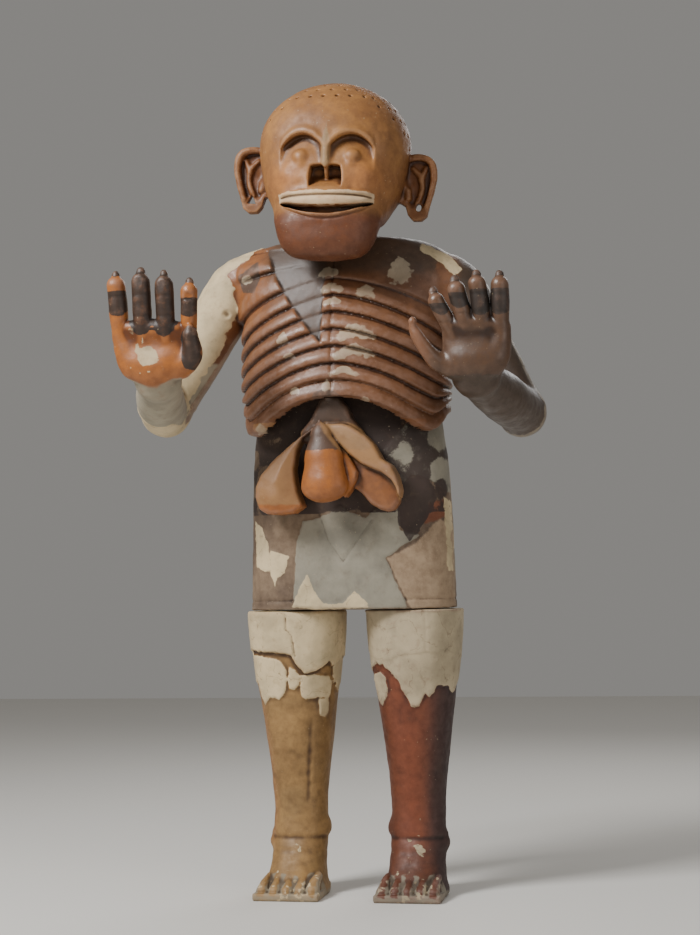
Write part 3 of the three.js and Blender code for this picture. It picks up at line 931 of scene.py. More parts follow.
def carve_chest(step, rib_relief):
    block = Block((-486, -106, 822), (448, 418, 1438), step)
    upright(block, CHEST_LEVELS)
    cuts, x, f, z = block.window()
    block.d = -softer_least(-block.d, NECK_HEIGHT - z, 10)
    index, (px, pf, pz) = block.near(16)
    block.d[index] -= rib_shape(px, pf, pz, rib_relief).astype(np.float32)
    hollow_under_ribs(block)
    for side, arm in ARMS.items():
        model_arm(block, side, arm)
    model_liver(block)
    cuts, x, f, z = block.window(high=(1e9, 1e9, WAIST_HEIGHT + 20))
    ratio, size = form(TRUNK_LEVELS, x, f, z)
    block.cut(cuts, np.maximum((ratio - 1) * size - 1.5, z - WAIST_HEIGHT - 1.5))
    block.model(lambda x, f, z: 1.1 * uneven(x, f, z, 40, 21) + 0.5 * uneven(x, f, z, 13, 22))
    block.model(chest_coats)
    return block


def rib_shape(x, f, z, relief):
    place, turn = rib_place(x, f, z)
    aside = smooth(-10, -80, x)
    inside = (place > -1.7 * aside) & (place < RIB_COUNT)
    share = place - np.floor(place)
    lap = 0.72 * smooth(0, 0.7, share) + 0.28 * smooth(0, 0.14, share) - smooth(0.9, 1, share)
    fade = smooth(-1.6 * aside, 2.0 - 2.2 * aside, place) * (1 - 0.6 * smooth(2.2, 3.1, np.abs(turn)))
    mend = smooth(-3, 3, inside_outline(x, z, CHEST_MEND)) * (f > 40)
    bone = -2.5 * bump(x, -3, 2.5) * smooth(1400, 1340, z) * smooth(RIM_HEIGHT - 6, 1100, z) * (f > 0)
    return relief * fade * lap * inside * (1 - 0.85 * mend) + bone * (1 - mend)


def hollow_under_ribs(block):
    """Trims the chest along its rim and opens the space behind the rim."""
    cuts, x, f, z = block.window(high=(1e9, 1e9, 1200))
    grid_x, grid_f, grid_z = np.broadcast_arrays(x, f, z)
    turn = turn_round(CHEST_LEVELS, grid_x.astype(float), grid_f.astype(float), grid_z.astype(float))
    rim = RIM_HEIGHT - rib_fall(turn, RIM_HEIGHT)
    outer = block.d[cuts].copy()
    block.cut(cuts, grid_z - rim, blend=4)
    inner = np.maximum(outer + 15, grid_z - rim - 46)
    block.d[cuts] = np.maximum(block.d[cuts], -inner)


def model_arm(block, side, arm):
    (sx, sf, sz), (ex, ef, ez) = arm["shoulder"], arm["elbow"]
    (wx, wf, wz), (px, pf, pz) = arm["wrist"], arm["palm"]
    half = arm["palm_half"]
    upper = [
        (sx - side * 70, sf, sz + 18, 64),
        (sx, sf, sz, 64),
        ((sx + ex) / 2, (sf + ef) / 2, (sz + ez) / 2, 56),
        (ex, ef, ez, 51.5),
    ]
    bar(block, upper, blend=16, side=(0, 1, 0), rows=12)
    fore = [
        (ex, ef + 8, ez + 2, 50.5),
        ((ex + wx) / 2 + side * 6, (ef + wf) / 2, (ez + wz) / 2 - 4, 52),
        (wx, wf, wz, 44),
    ]
    bar(block, fore, blend=10, rows=8)
    palm = [
        (wx, wf + 6, wz - 2, 50, 38),
        ((wx + px) / 2, (wf + pf) / 2 + 8, (wz + pz) / 2, half - 5, 27),
        (px, pf, pz, half, 21),
    ]
    bar(block, palm, blend=8, rows=12)
    ball(block, (px, pf - 4, wz + 42), (half - 4, 27, 50), blend=16)
    bar(block, arm["edge"], blend=10, rows=8)
    bar(block, arm["thumb"], blend=9, rows=14)
    tip = np.array(arm["thumb"][-1][:3], dtype=float)
    ball(block, tip + (0, 4, 13), (8, 7, 9), blend=3)
    for x, f, z, tx, tf, tz, radius in arm["fingers"]:
        foot, end = np.array([x, f, z], dtype=float), np.array([tx, tf, tz], dtype=float)
        shares = ((-0.1, 0.96), (0.4, 1.04), (1 - 0.75 * radius / (tz - z), 1.02))
        bar(block, [(*(foot + (end - foot) * share), radius * wide) for share, wide in shares], 3.5, rows=10)
        ball(block, end + (0, -3, 5), (9.5, 8, 12), blend=2)
    hand_low = (px - half - 20, 330, wz - 30)
    hand_high = (px + half + 20, 430, 1345)

    def palm_relief(x, f, z):
        front = smooth(-2, 10, f - 0.06 * (z - wz) - 375)
        cup = -5 * np.exp(-(((x - px) / 38) ** 2) - ((z - wz - 66) / 30) ** 2)
        creases = 0
        for fx, _, fz, tx, _, tz, radius in arm["fingers"]:
            for share in (0.3, 0.66):
                at = fz + (tz - fz) * share
                within = smooth(radius, radius - 4, np.abs(x - fx - (tx - fx) * share))
                creases = creases - 1.2 * bump(z, at, 1.8) * within
        return front * (cup + creases)

    block.model(palm_relief, low=hand_low, high=hand_high)


def leaf(block, outline, back, front, edge=9.0, dome=8.0, blend=1.5):
    """Adds a slab cut to an outline, with a rounded edge and a domed face.

    The front is given at the outline's lowest and highest points.
    """
    corners = np.array(outline, dtype=float)
    (low_x, low_z), (high_x, high_z) = corners.min(0), corners.max(0)
    cuts, x, f, z = block.window(
        (low_x - 16, back - 16, low_z - 16), (high_x + 16, max(front) + 16, high_z + 16)
    )
    inset = inside_outline(x, z, outline)
    inner = np.clip(inset / edge, 0, 1)
    face = np.interp(z, (low_z, high_z), front) - edge * (1 - np.sqrt(1 - (1 - inner) ** 2))
    face = face - dome * (1 - smooth(0, 42, inset))
    block.add(cuts, np.maximum(-inset, np.maximum(f - face, back - f)), blend)


def model_liver(block):
    """The liver: a wedge under the breastbone, the gall bladder and two hanging lobes."""
    leaf(block, WEDGE, 138, (170, 186), edge=14, dome=5, blend=5)
    leaf(block, LEFT_LOBE, 142, (182, 176), edge=10, dome=6)
    leaf(block, LEFT_RIM, 150, (206, 200), edge=8, dome=4)
    leaf(block, RIGHT_LOBE, 146, (210, 196), edge=8, dome=12)
    leaf(block, GALL_EDGE, 150, (202, 200), edge=12, dome=4)
    gall = [(-31, 194, 1022, 4, 6), (-28, 198, 990, 24, 18), (-22, 201, 940, 42, 28), (-20, 203, 882, 50, 34)]
    bar(block, gall, blend=3, rows=26)
    ball(block, (-34, 237, 921), (2.6, 5, 2.6), blend=0.5, take=True)


def chest_coats(x, f, z):
    """Lime left on the arm and the mend on the chest stand a little proud."""
    arm = smooth(-1.5, 1.5, arm_coat(x, f, z)) * (f < 150)
    patches = smooth(0.0, 0.25, lime_lefts(x, f, z))
    mend = smooth(-1.5, 1.5, inside_outline(x, z, CHEST_MEND)) * (f > 40)
    scar = np.hypot(x + 258, z - 1272)
    ring = (0.8 * bump(scar, 11, 3) - 2.4 * smooth(10, 4, scar + 3 * uneven(x, f, z, 6, 33))) * (f > 70)
    return 2.2 * arm + 0.8 * patches * (1 - arm) + 1.2 * mend + ring


def arm_coat(x, f, z):
    """How far a place lies inside the lime coat on the figure's right arm."""
    ragged = 5 * uneven(x, f, z, 16, 31) + 2.5 * uneven(x, f, z, 6, 32)
    return np.where(z < 1440, inside_outline(x, z, ARM_LIME), -50) + ragged


def lime_lefts(x, f, z):
    """The strength of the worn remains of lime on the chest."""
    remains = np.full(np.shape(x), -9.0)
    for cx, cz, wide, high in LIME_LEFTS:
        slant = cz - 0.35 * np.abs(x - cx)
        remains = np.maximum(remains, 1 - ((x - cx) / wide) ** 2 - ((z - slant) / high) ** 2)
    ragged = 0.55 * uneven(x, f, z, 9, 41) + 0.35 * uneven(x, f, z, 4, 42)
    return (remains + ragged - 0.1) * (f > 60)


def carve_trunk(step):
    block = Block((-242, -112, 610), (242, 150, 1118), step)
    upright(block, TRUNK_LEVELS)
    cuts, x, f, z = block.window()
    block.d = -softer_least(-block.d, WAIST_HEIGHT - z, 8)
    block.d = -softer_least(-block.d, z - HEM_HEIGHT, 3)
    block.model(trunk_relief)
    return block


def trunk_relief(x, f, z):
    ahead = f > 20
    apron = smooth(-1.8, 1.8, inside_outline(x, z, APRON)) * ahead
    tan = smooth(-1.5, 1.5, inside_outline(x, z, HIP_TAN) + 2 * uneven(x, f, z, 8, 51)) * ahead
    grey = smooth(-1.5, 1.5, inside_outline(x, z, SIDE_GREY)) * ahead
    lime = np.maximum.reduce([inside_outline(x, z, o) for o in HEM_LIME])
    lime = smooth(-1.2, 1.2, lime + 2 * uneven(x, f, z, 7, 52)) * ahead
    folds = [[(-50, 828), (-31, 770), (1, 722)], [(66, 812), (35, 770), (3, 726)]]
    flap = sum(bump(near_line(x, z, fold), 0, 2.4) for fold in folds) * ahead
    plain = -2.6 + 1.3 * uneven(x, f, z, 45, 53) + 0.6 * uneven(x, f, z, 14, 54)
    edge = -2.0 * bump(z, 640, 3) * smooth(1, -1, inside_outline(x, z, APRON))
    return plain + 2.4 * apron + 1.6 * tan + 1.2 * grey * (1 - tan) + 1.2 * lime - 2.2 * flap + edge


def carve_leg(side, step):
    middle = side * LEG_SPREAD
    block = Block((middle - 122, -112, -6), (middle + 122, 156, 624), step)
    cuts, x, f, z = block.window()
    low = 1 - smooth(50, 140, z)
    taper = 1 - HEEL_TAPER * low * smooth(-40, 90, -f)
    half, front, back, square = (c[None, None, :] for c in level_curves(LEG_LEVELS, z.ravel()))
    centre, reach = (front + back) / 2, (front - back) / 2
    across = np.abs(x - middle + low * FOOT_TURN * f) / taper / half
    ahead = np.abs(f - centre) / reach
    ratio = (across**square + ahead**square) ** (1 / square)
    block.d = ((ratio - 1) * np.minimum(half, reach)).astype(np.float32)
    block.even_out()
    block.d = -softer_least(-block.d, HEM_HEIGHT - 0.3 - z, 2)
    block.d = -softer_least(-block.d, z - 6, 3)
    for i in range(-2, 3):
        radius = 16.5 if i * side == -2 else 14.5
        end = TOE_REACH + 1 - radius - abs(i) * 2
        toe = [
            (toe_line(side, i, 66), 66, 44, radius - 2),
            (toe_line(side, i, 104), 104, 34, radius),
            (toe_line(side, i, end), end, 22, radius),
        ]
        bar(block, toe, blend=2, rows=9)
    for out in (-1, 1):
        height = 116 if out * side > 0 else 142
        ball(block, (middle + out * 55, 0, height), (19, 24, 27), blend=14)
    slab = np.maximum(foot_outline(x - middle + FOOT_TURN * f, f), z - SLAB_THICKNESS)
    block.add(cuts, slab - 1, blend=4)
    block.d = np.maximum(block.d, -z)
    block.model(lambda x, f, z: leg_relief(side, x, f, z), high=(1e9, 1e9, 614))
    return block


def toe_line(side, i, f):
    """Where the middle of a toe runs."""
    return side * LEG_SPREAD + i * 27.5 - FOOT_TURN * f


def foot_outline(x, f):
    """Distance out from the foot slab's edge, seen from above."""
    wide = 71 - 5 * smooth(135, 30, f) - 9 * smooth(40, -40, f)
    heel = np.sqrt((np.abs(x) / wide) ** 2.6 + (np.clip(-f, 0, None) / 82) ** 2.6) - 1
    return np.maximum(heel * 45, f - (TOE_REACH + 4))


def leg_relief(side, x, f, z):
    coat = smooth(-1.2, 1.2, leg_coat(side, x, f, z))
    band = smooth(-1.2, 1.2, leg_band(side, x, f, z)) * (1.0 if side < 0 else 0.35)
    plain = -6.0 + 1.2 * uneven(x, f, z, 38, 61) + 0.5 * uneven(x, f, z, 12, 62)
    above = smooth(14, 40, z)
    ankle = 1.4 * bump(z, 106, 9) - 1.6 * bump(z, 124, 6) + 1.0 * bump(z, 82, 7)
    shin = -1.8 * bump(leg_turn(side, x, f), 34, 6) * smooth(180, 220, z) * smooth(400, 360, z)
    if side < 0:
        cracks, depth = [[(-134, 622), (-133, 578), (-123, 566), (-118, 540), (-118, 518)]], 3.4
    else:
        cracks, depth = [[(109, 612), (104, 526)], [(172, 612), (172, 526)]], 1.0
    crack = sum(bump(near_line(x + 3 * uneven(x, f, z, 8, 63), z, line), 0, 2) for line in cracks)
    crack = depth * crack * (f > 10) * coat
    return above * (plain + ankle + shin * (side < 0)) + 3.4 * coat + 3.8 * band - crack


# Meshes


def fired(block, name, pose=None, marks=None, most=190000):
    """Makes the block's surface a mesh object, with what its colours need as attributes."""
    grid = vdb.FloatGrid(FAR)
    grid.copyFromArray(np.ascontiguousarray(block.d, dtype=np.float32))
    points, faces = grid.convertToQuads()
    points, faces = whole_piece(points.astype(float), faces)
    places = block.low + points * block.step
    if shown_volume(places, faces) > 0:
        faces = faces[:, ::-1]
    mesh = bpy.data.meshes.new(name)
    mesh.vertices.add(len(places))
    mesh.vertices.foreach_set("co", places.astype(np.float32).ravel())
    mesh.loops.add(faces.size)
    mesh.loops.foreach_set("vertex_index", faces.astype(np.int32).ravel())
    mesh.polygons.add(len(faces))
    mesh.polygons.foreach_set("loop_start", np.arange(0, faces.size, 4, dtype=np.int32))
    mesh.update(calc_edges=True)
    mesh.validate()
    piece = bpy.data.objects.new(name, mesh)
    bpy.context.scene.collection.objects.link(piece)
    if 2 * len(faces) > most:
        thin_out(piece, most / (2 * len(faces)))
    mesh = piece.data
    places = np.zeros(len(mesh.vertices) * 3, dtype=np.float32)
    mesh.vertices.foreach_get("co", places)
    places = places.reshape(-1, 3).astype(float)
    points = (places - block.low) / block.step
    values = {"hollow": sample(block.d, points) - sample(block.worn_shape(9), points)}
    values.update(marks(*places.T))
    shown = pose(places) if pose else places
    corners = np.stack([shown[:, 0] - MIDDLE_X, MIDDLE_FORWARD - shown[:, 1], shown[:, 2]], axis=1)
    corners = np.clip(corners / 1000, *(np.array(corner) for corner in SOLID_BOX))
    mesh.vertices.foreach_set("co", corners.astype(np.float32).ravel())
    for key, value in values.items():
        layer = mesh.attributes.new(key, "FLOAT", "POINT")
        layer.data.foreach_set("value", np.asarray(value, dtype=np.float32))
    mesh.shade_smooth()
    mesh.update()
    return piece


def thin_out(piece, ratio):
    """Merges small faces where the surface is calm, down to the given share."""
    thin = piece.modifiers.new("thin", "DECIMATE")
    thin.ratio = ratio
    settled = piece.evaluated_get(bpy.context.evaluated_depsgraph_get())
    rough, piece.data = piece.data, bpy.data.meshes.new_from_object(settled)
    piece.modifiers.clear()
    piece.data.name = piece.name
    bpy.data.meshes.remove(rough)


def whole_piece(points, faces):
    """Keeps the largest connected surface and drops crumbs."""
    mark = np.arange(len(points))
    while True:
        least = mark[faces].min(axis=1)
        fresh = mark.copy()
        for k in range(4):
            np.minimum.at(fresh, faces[:, k], least)
        fresh = fresh[fresh]
        if np.array_equal(fresh, mark):
            break
        mark = fresh
    names, counts = np.unique(mark, return_counts=True)
    kept = mark == names[counts.argmax()]
    index = np.cumsum(kept) - 1
    return points[kept], index[faces[kept[faces[:, 0]]]]


def sample(field, points):
    """The field's value at points between its grid points."""
    base = np.clip(np.floor(points).astype(int), 0, np.array(field.shape) - 2)
    part = points - base
    total = 0
    for corner in np.ndindex(2, 2, 2):
        weight = np.prod(np.where(corner, part, 1 - part), axis=1)
        total = total + weight * field[tuple((base + corner).T)]
    return total


def shown_volume(points, faces):
    a, b, c, d = (points[faces[:, k]] for k in range(4))
    return float((np.cross(a, b) * c).sum() + (np.cross(a, c) * d).sum())


# Where each finish lies: distances in millimetres into each coat, and tints from 0 to 1.


def head_marks(x, f, z):
    across = x / MOUTH_HALF
    band = np.minimum(z - 1468.5 - 9 * across**2, 1501 - 4 * across**4 - z)
    lime = np.minimum(band, 0.7 * (MOUTH_HALF + 2 - np.abs(x)))
    lime = np.where(f > 180, lime, -40) + 2 * uneven(x, f, z, 9, 71)
    bridge = 9 - np.abs(x) - 0.25 * np.clip(np.abs(z - 1585) - 22, 0, None)
    return {
        "lime": lime,
        "mend": np.where((f > 200) & (z > 1552), bridge, -40) + 2 * uneven(x, f, z, 9, 72),
        "dark": np.full(len(x), -40.0),
        "tint": np.maximum(smooth(1476, 1440, z), 0.85 * smooth(205, 110, f)),
        "orange": 0.8 * bump(np.abs(x), 80, 46) * bump(z, 1530, 44) * smooth(150, 220, f),
    }


def chest_marks(x, f, z):
    off = np.full(len(x), -40.0)
    lime = np.where(f < 150, arm_coat(x, f, z), off)
    strip = inside_outline(x, z, SHOULDER_LIME) + 3 * uneven(x, f, z, 9, 81)
    lime = np.maximum(lime, np.where((f > -40) & (f < 150), strip, off))
    disc = 21 - np.hypot(x + 349, z - 1153) + 1.5 * uneven(x, f, z, 6, 82)
    streaks = 7 * uneven(x * 1.6, f, z * 0.7, 8, 83) - 3.4
    flakes = streaks - 0.07 * np.hypot(x + 380, 0.6 * (z - 1196))
    curls = streaks + 1.2 - 0.22 * np.abs(np.hypot(x + 349, z - 1153) - 30)
    palm = (f > 366) & (x < -250)
    lime = np.where(palm, np.maximum.reduce([disc, flakes, curls]), lime)
    mend = np.maximum(inside_outline(x, z, CHEST_MEND), inside_outline(x, z, SHOULDER_GREY))
    mend = np.maximum(mend, inside_outline(x, z, WEDGE) + 8 - 40 * (f < 130) - 40 * (z > 1092))
    mend = np.where(f > 40, mend, off) + 2 * uneven(x, f, z, 10, 84)
    fore = np.minimum(np.minimum(-(x + 284), 1166 - z), np.minimum(372 - f, f - 60))
    chest_half = level_curves(CHEST_LEVELS, z)[0]
    liver = (z < 1024) & (f > 144) & (np.abs(x) < 200)
    # The figure's left arm is tinted darker brown-grey, partly the colour of its clay and partly painted shade; the
    # hand is tinted less.
    arm = smooth(chest_half + 4, chest_half + 30, x) * (1 - 0.35 * smooth(300, 340, f) * (z > 1090))
    breast = 0.85 * smooth(1322, 1356, z) * (np.abs(x) < 215) * (f > 0)
    orange = np.where(liver, np.where(x > 44, 0.3, 0.95), 0.0)
    flank = 0.5 * smooth(-120, -190, x) * smooth(1180, 1330, z) * (f > 0)
    return {
        "lime": lime,
        "worn": 12 * lime_lefts(x, f, z),
        "mend": mend,
        "forearm": fore + 2 * uneven(x, f, z, 14, 85),
        "dark": soot(x, f, z),
        "tint": np.maximum(arm, breast * (1 - smooth(-150, -190, x))),
        "orange": np.maximum(np.maximum(orange, flank), smooth(330, 362, f) * (x < -220)),
        "pale": np.where(liver, pale_liver(x, z), off) + 2 * uneven(x, f, z, 12, 86),
    }


def pale_liver(x, z):
    """The tan skin of the right lobe, and the left lobe's raised rim made tan, partly its skin and partly a painted
    highlight.
    """
    right = np.minimum(-76 - x, z - 846)
    # The left lobe's rim: partly its tan skin, partly a painted highlight where light catches the rim.
    left = inside_outline(x, z, LEFT_RIM) + 6
    return np.maximum(right, left)


def soot(x, f, z):
    """How far a place lies inside the darkened parts of the fingers and thumb."""
    dark = np.full(len(x), -40.0)
    for side, arm in ARMS.items():
        for (fx, _, fz, tx, _, tz, radius), (low, high) in zip(arm["fingers"], arm["soot"]):
            aside = x - fx - (tx - fx) * (z - fz) / (tz - fz)
            below = np.clip(low + radius - z, 0, None)
            within = np.minimum(radius + 3 - np.hypot(aside, below), high - z)
            side_face = radius + 8 - np.abs(aside)
            within = np.where(below > 0, within, np.minimum(side_face, high - z))
            nail = np.minimum(z - tz - 4, side_face)
            dark = np.maximum(dark, np.where(f > 350, np.maximum(within, nail), -40))
    (ax, _, az, _), (bx, _, bz, _) = ARMS[-1]["thumb"][1:]
    thumb = 21 - line_distance(x, z, ax + 2, az - 10, bx, bz - 4)
    dark = np.maximum(dark, np.where((f > 352) & (x < 0), thumb, -40))
    return dark + 1.5 * uneven(x, f, z, 8, 91)


def trunk_marks(x, f, z):
    ahead = f > 15
    rough = 2.2 * uneven(x, f, z, 8, 52)
    lime = np.maximum.reduce([inside_outline(x, z, o) for o in HEM_LIME]) + rough
    back_lime = 18 * uneven(x, f, z, 70, 101) + 7 * uneven(x, f, z, 20, 102) - 2
    apron = np.maximum(inside_outline(x, z, APRON), inside_outline(x, z, SIDE_GREY)) + rough
    dark = inside_outline(x, z, HIP_DARK) + rough
    # Painted shade: the trunk's front from the liver's foot up to the waist, behind the hanging liver and under the rib
    # rim, is darkened.
    under = 14 * bump(x, -10, 160) * smooth(800, 850, z) + 10 * uneven(x, f, z, 34, 103) - 4
    tan = inside_outline(x, z, HIP_TAN) + 2 * uneven(x, f, z, 8, 51)
    return {
        "lime": np.where(ahead, lime, back_lime),
        "mend": np.where(ahead, apron, 12 * uneven(x, f, z, 60, 104) - 3),
        "dark": np.where(ahead, np.maximum(dark, under * (z > 826) - 40 * (z <= 826)), -40),
        "tint": np.where(ahead, smooth(-1.5, 1.5, tan), smooth(-0.2, 0.4, uneven(x, f, z, 55, 105))),
        "orange": np.where(ahead, smooth(-2, 2, inside_outline(x, z, HIP_RED) + rough), 0),
    }


def leg_marks(side):
    def marks(x, f, z):
        turn = leg_turn(side, x, f)
        crumbs = 7 * uneven(x, f, z, 11, 111) + 4 * uneven(x, f, z, 5, 112)
        front = 0.12 * np.abs(turn - 8) + 0.05 * np.abs(z - 120)
        low = np.where(z < 200, crumbs - 2.5 - front - (3 if side < 0 else 0), -40)
        low = np.maximum(low, np.where((z < 60) & (f > 60), crumbs - 4.5, -40))
        nearest = np.min([np.abs(x - toe_line(side, i, f)) for i in range(-2, 3)], axis=0)
        stucco = np.where(f > 60, np.minimum(nearest - 7.5, 52 - z), -40)
        stucco = np.maximum(stucco, np.minimum(13 - z, 40)) + 0.5 * crumbs
        red = bump(turn, -8, 40) if side > 0 else 0.8 * smooth(-40, -80, turn)
        # For the left leg, painted shade: on its front it grows darker towards its outer side. For the right leg, tone
        # that differs at random.
        shade = smooth(14, 52, turn) if side > 0 else 0.8 * smooth(0, 0.7, uneven(x, f, z, 70, 116))
        return {
            "lime": np.maximum(leg_coat(side, x, f, z), low),
            "mend": stucco,
            "dark": 9 * uneven(x, f, z, 32, 113 + side) - 7.5,
            "tint": np.where(np.abs(turn) < 110, shade, smooth(-0.2, 0.5, uneven(x, f, z, 60, 115))),
            "orange": red * smooth(70, 150, z),
        }

    return marks


# Materials


def linear(hex_colour):
    """An sRGB hex colour as linear numbers."""
    parts = [int(hex_colour[i : i + 2], 16) / 255 for i in (1, 3, 5)]
    return tuple(p / 12.92 if p <= 0.04045 else ((p + 0.055) / 1.055) ** 2.4 for p in parts)


def add(tree, kind, settings=None, inputs=None):
    """Adds one node with its settings, its values and its links."""
    node = tree.nodes.new(kind)
    for key, value in (settings or {}).items():
        setattr(node, key, value)
    for key, value in (inputs or {}).items():
        socket = node.inputs[key]
        if isinstance(value, bpy.types.NodeSocket):
            tree.links.new(value, socket)
        else:
            socket.default_value = value
    return node


def opaque(colour):
    """A colour with its alpha, from a hex colour or from linear numbers."""
    return (*(linear(colour) if isinstance(colour, str) else colour), 1.0)


def fired_clay(name, colours, coats, gloss, cracked=0.0, flecked=0.5):
    """Fired clay under its coats: slip, soot, mends, lime and some painted shade and highlight, each laid over the
    last.

    The colours are hex. A coat is (attribute, colour, roughness, softness of its edge, strength).
    """
    base, deep, tint, orange = (opaque(c) for c in colours)
    material = bpy.data.materials.new(name)
    material.use_nodes = True
    tree = material.node_tree
    tree.nodes.clear()
    place = add(tree, "ShaderNodeTexCoord").outputs["Object"]

    def noise(scale, detail, roughness=0.6, vector=place):
        inputs = {"Vector": vector, "Scale": scale, "Detail": detail, "Roughness": roughness}
        return add(tree, "ShaderNodeTexNoise", None, inputs)

    def range_of(value, low, high, least=0.0, most=1.0):
        inputs = {0: value, 1: low, 2: high, 3: least, 4: most}
        return add(tree, "ShaderNodeMapRange", {"interpolation_type": "SMOOTHSTEP"}, inputs).outputs[0]

    def attribute(key):
        return add(tree, "ShaderNodeAttribute", {"attribute_name": key}).outputs["Fac"]

    def mixed(factor, under, colour, blend="MIX"):
        settings = {"data_type": "RGBA", "blend_type": blend, "clamp_factor": True}
        return add(tree, "ShaderNodeMix", settings, {0: factor, 6: under, 7: colour}).outputs[2]

    def math_of(kind, a, b):
        return add(tree, "ShaderNodeMath", {"operation": kind}, {0: a, 1: b}).outputs[0]

    # Clay body: clouds of tone about 90 mm across, mottling of 18 mm and grit of 3 mm.
    clouds, mottle, grit = (noise(*of).outputs["Fac"] for of in ((11, 5), (55, 6, 0.65), (330, 3)))
    body = mixed(range_of(clouds, 0.36, 0.64), base, deep)
    body = mixed(attribute("tint"), body, tint)
    body = mixed(attribute("orange"), body, orange)
    shade = range_of(mottle, 0.3, 0.72)
    body = mixed(math_of("MULTIPLY", shade, 0.5), body, (0.42, 0.36, 0.33, 1), "MULTIPLY")
    rough = range_of(mottle, 0.3, 0.7, gloss, gloss + 0.2)
    # Coats, whose edges are ragged by up to about 2 mm.
    ragged = math_of("MULTIPLY", math_of("SUBTRACT", mottle, 0.5), 7.0)
    ragged = math_of("ADD", ragged, math_of("MULTIPLY", math_of("SUBTRACT", grit, 0.5), 3.0))
    for key, coat_colour, coat_rough, softness, strength in coats:
        cover = range_of(math_of("ADD", attribute(key), ragged), -softness, softness, 0.0, strength)
        coat_colour = opaque(coat_colour)
        stained = tuple(c * 0.66 for c in coat_colour[:3]) + (1,)
        coat = mixed(range_of(clouds, 0.35, 0.7), coat_colour, stained)
        coat = mixed(math_of("MULTIPLY", range_of(mottle, 0.5, 0.75), 0.3), coat, body)
        body = mixed(cover, body, coat)
        rough = add(tree, "ShaderNodeMix", None, {0: cover, 2: rough, 3: coat_rough}).outputs[0]
    # Hollows are darkened, partly dirt and partly painted shade, and standing edges are rubbed paler.
    hollow = attribute("hollow")
    # Painted shade with dirt: the deeper the hollow, the darker the clay.
    hollow_shade_and_dirt = math_of("MULTIPLY", range_of(hollow, 0.3, 2.2), 0.85)
    body = mixed(hollow_shade_and_dirt, body, (0.2, 0.14, 0.1, 1), "MULTIPLY")
    rubbed = math_of("MULTIPLY", math_of("MULTIPLY", range_of(hollow, -0.6, -2.4), 0.4), shade)
    body = mixed(rubbed, body, tuple(min(1, c * 1.4 + 0.08) for c in base[:3]) + (1,))
    # Pale flecks of burial lime, 1 to 4 mm across.
    fleck = range_of(noise(210, 2, 0.5).outputs["Fac"], 0.7, 0.74)
    fleck = math_of("MULTIPLY", fleck, range_of(clouds, 0.45, 0.6, 0.0, flecked))
    body = mixed(fleck, body, opaque("#cdb995"))
    height = math_of("ADD", math_of("MULTIPLY", mottle, 0.6), math_of("MULTIPLY", grit, 0.35))
    if cracked:
        # Crazing of the lime: wandering lines about 70 mm apart.
        bend = noise(16, 3).outputs["Color"]
        bent = add(tree, "ShaderNodeVectorMath", {"operation": "MULTIPLY_ADD"}, {0: bend, 1: (0.07,) * 3, 2: place})
        inputs = {"Vector": bent.outputs[0], "Scale": 14}
        cells = add(tree, "ShaderNodeTexVoronoi", {"feature": "DISTANCE_TO_EDGE"}, inputs)
        line = range_of(cells.outputs["Distance"], 0.014, 0.0, 0.0, cracked)
        line = math_of("MULTIPLY", line, math_of("MULTIPLY", cover, range_of(mottle, 0.42, 0.56)))
        body = mixed(line, body, (0.3, 0.22, 0.16, 1), "MULTIPLY")
        height = math_of("SUBTRACT", height, math_of("MULTIPLY", line, 0.5))
    relief = add(tree, "ShaderNodeBump", None, {"Strength": 0.5, "Distance": 0.0016, "Height": height})
    inputs = {"Base Color": body, "Roughness": rough, "Normal": relief.outputs["Normal"]}
    shader = add(tree, "ShaderNodeBsdfPrincipled", None, inputs)
    add(tree, "ShaderNodeOutputMaterial", None, {"Surface": shader.outputs["BSDF"]})
    return material


class StatueSizes(bpy.types.PropertyGroup):
    head_grid: bpy.props.FloatProperty(
        name="Head grid", description="Spacing of the carved head's points, in millimetres", default=2.3, min=1.5
    )
    chest_grid: bpy.props.FloatProperty(
        name="Chest grid", description="Spacing of the carved chest's points, in millimetres", default=3.2, min=2.5
    )
    lower_grid: bpy.props.FloatProperty(
        name="Trunk and leg grid", description="Spacing of the other sections' points, in millimetres", default=3.0, min=2
    )
    rib_relief: bpy.props.FloatProperty(
        name="Rib relief", description="How far the ribs stand out, in millimetres", default=11, min=0
    )


class StatueColours(bpy.types.PropertyGroup):
    head: bpy.props.FloatVectorProperty(
        name="Head clay", description="Orange-brown fired clay", subtype="COLOR", size=3, default=linear("#a5733f")
    )
    chest: bpy.props.FloatVectorProperty(
        name="Chest clay", description="Burnished brown fired clay", subtype="COLOR", size=3, default=linear("#80563a")
    )
    lime: bpy.props.FloatVectorProperty(
        name="Lime coat", description="Worn cream lime coat", subtype="COLOR", size=3, default=linear("#d6c199")
    )
    plaster: bpy.props.FloatVectorProperty(
        name="Grey plaster", description="Grey plaster of the mends", subtype="COLOR", size=3, default=linear("#969080")
    )


def settle(piece, node, material):
    """Gives a carved piece its finish and lets it stand for its solid."""
    piece.data.materials.append(material)
    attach(piece, "root")
    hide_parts(node)


class STATUE_OT_head(bpy.types.Operator):
    """Carves the bald head with its ears, nose opening and mouth"""

    bl_idname = "statue.head"
    bl_label = "Head"

    def execute(self, context):
        sizes, colours = context.scene.statue_sizes, context.scene.statue_colours
        piece = fired(carve_head(sizes.head_grid), "carved_head", posed_head, head_marks)
        # Burnished orange-brown earthenware: satin, redder at the jaw and sides.
        material = fired_clay(
            "burnished_orange_earthenware",
            (tuple(colours.head), "#8f6137", "#693a1e", "#b0713c"),
            [
                ("mend", "#a08a66", 0.7, 3.0, 0.6),
                ("lime", "#dcc19c", 0.75, 0.8, 0.92),
            ],
            gloss=0.42,
            flecked=0.6,
        )
        settle(piece, "head", material)
        return {"FINISHED"}


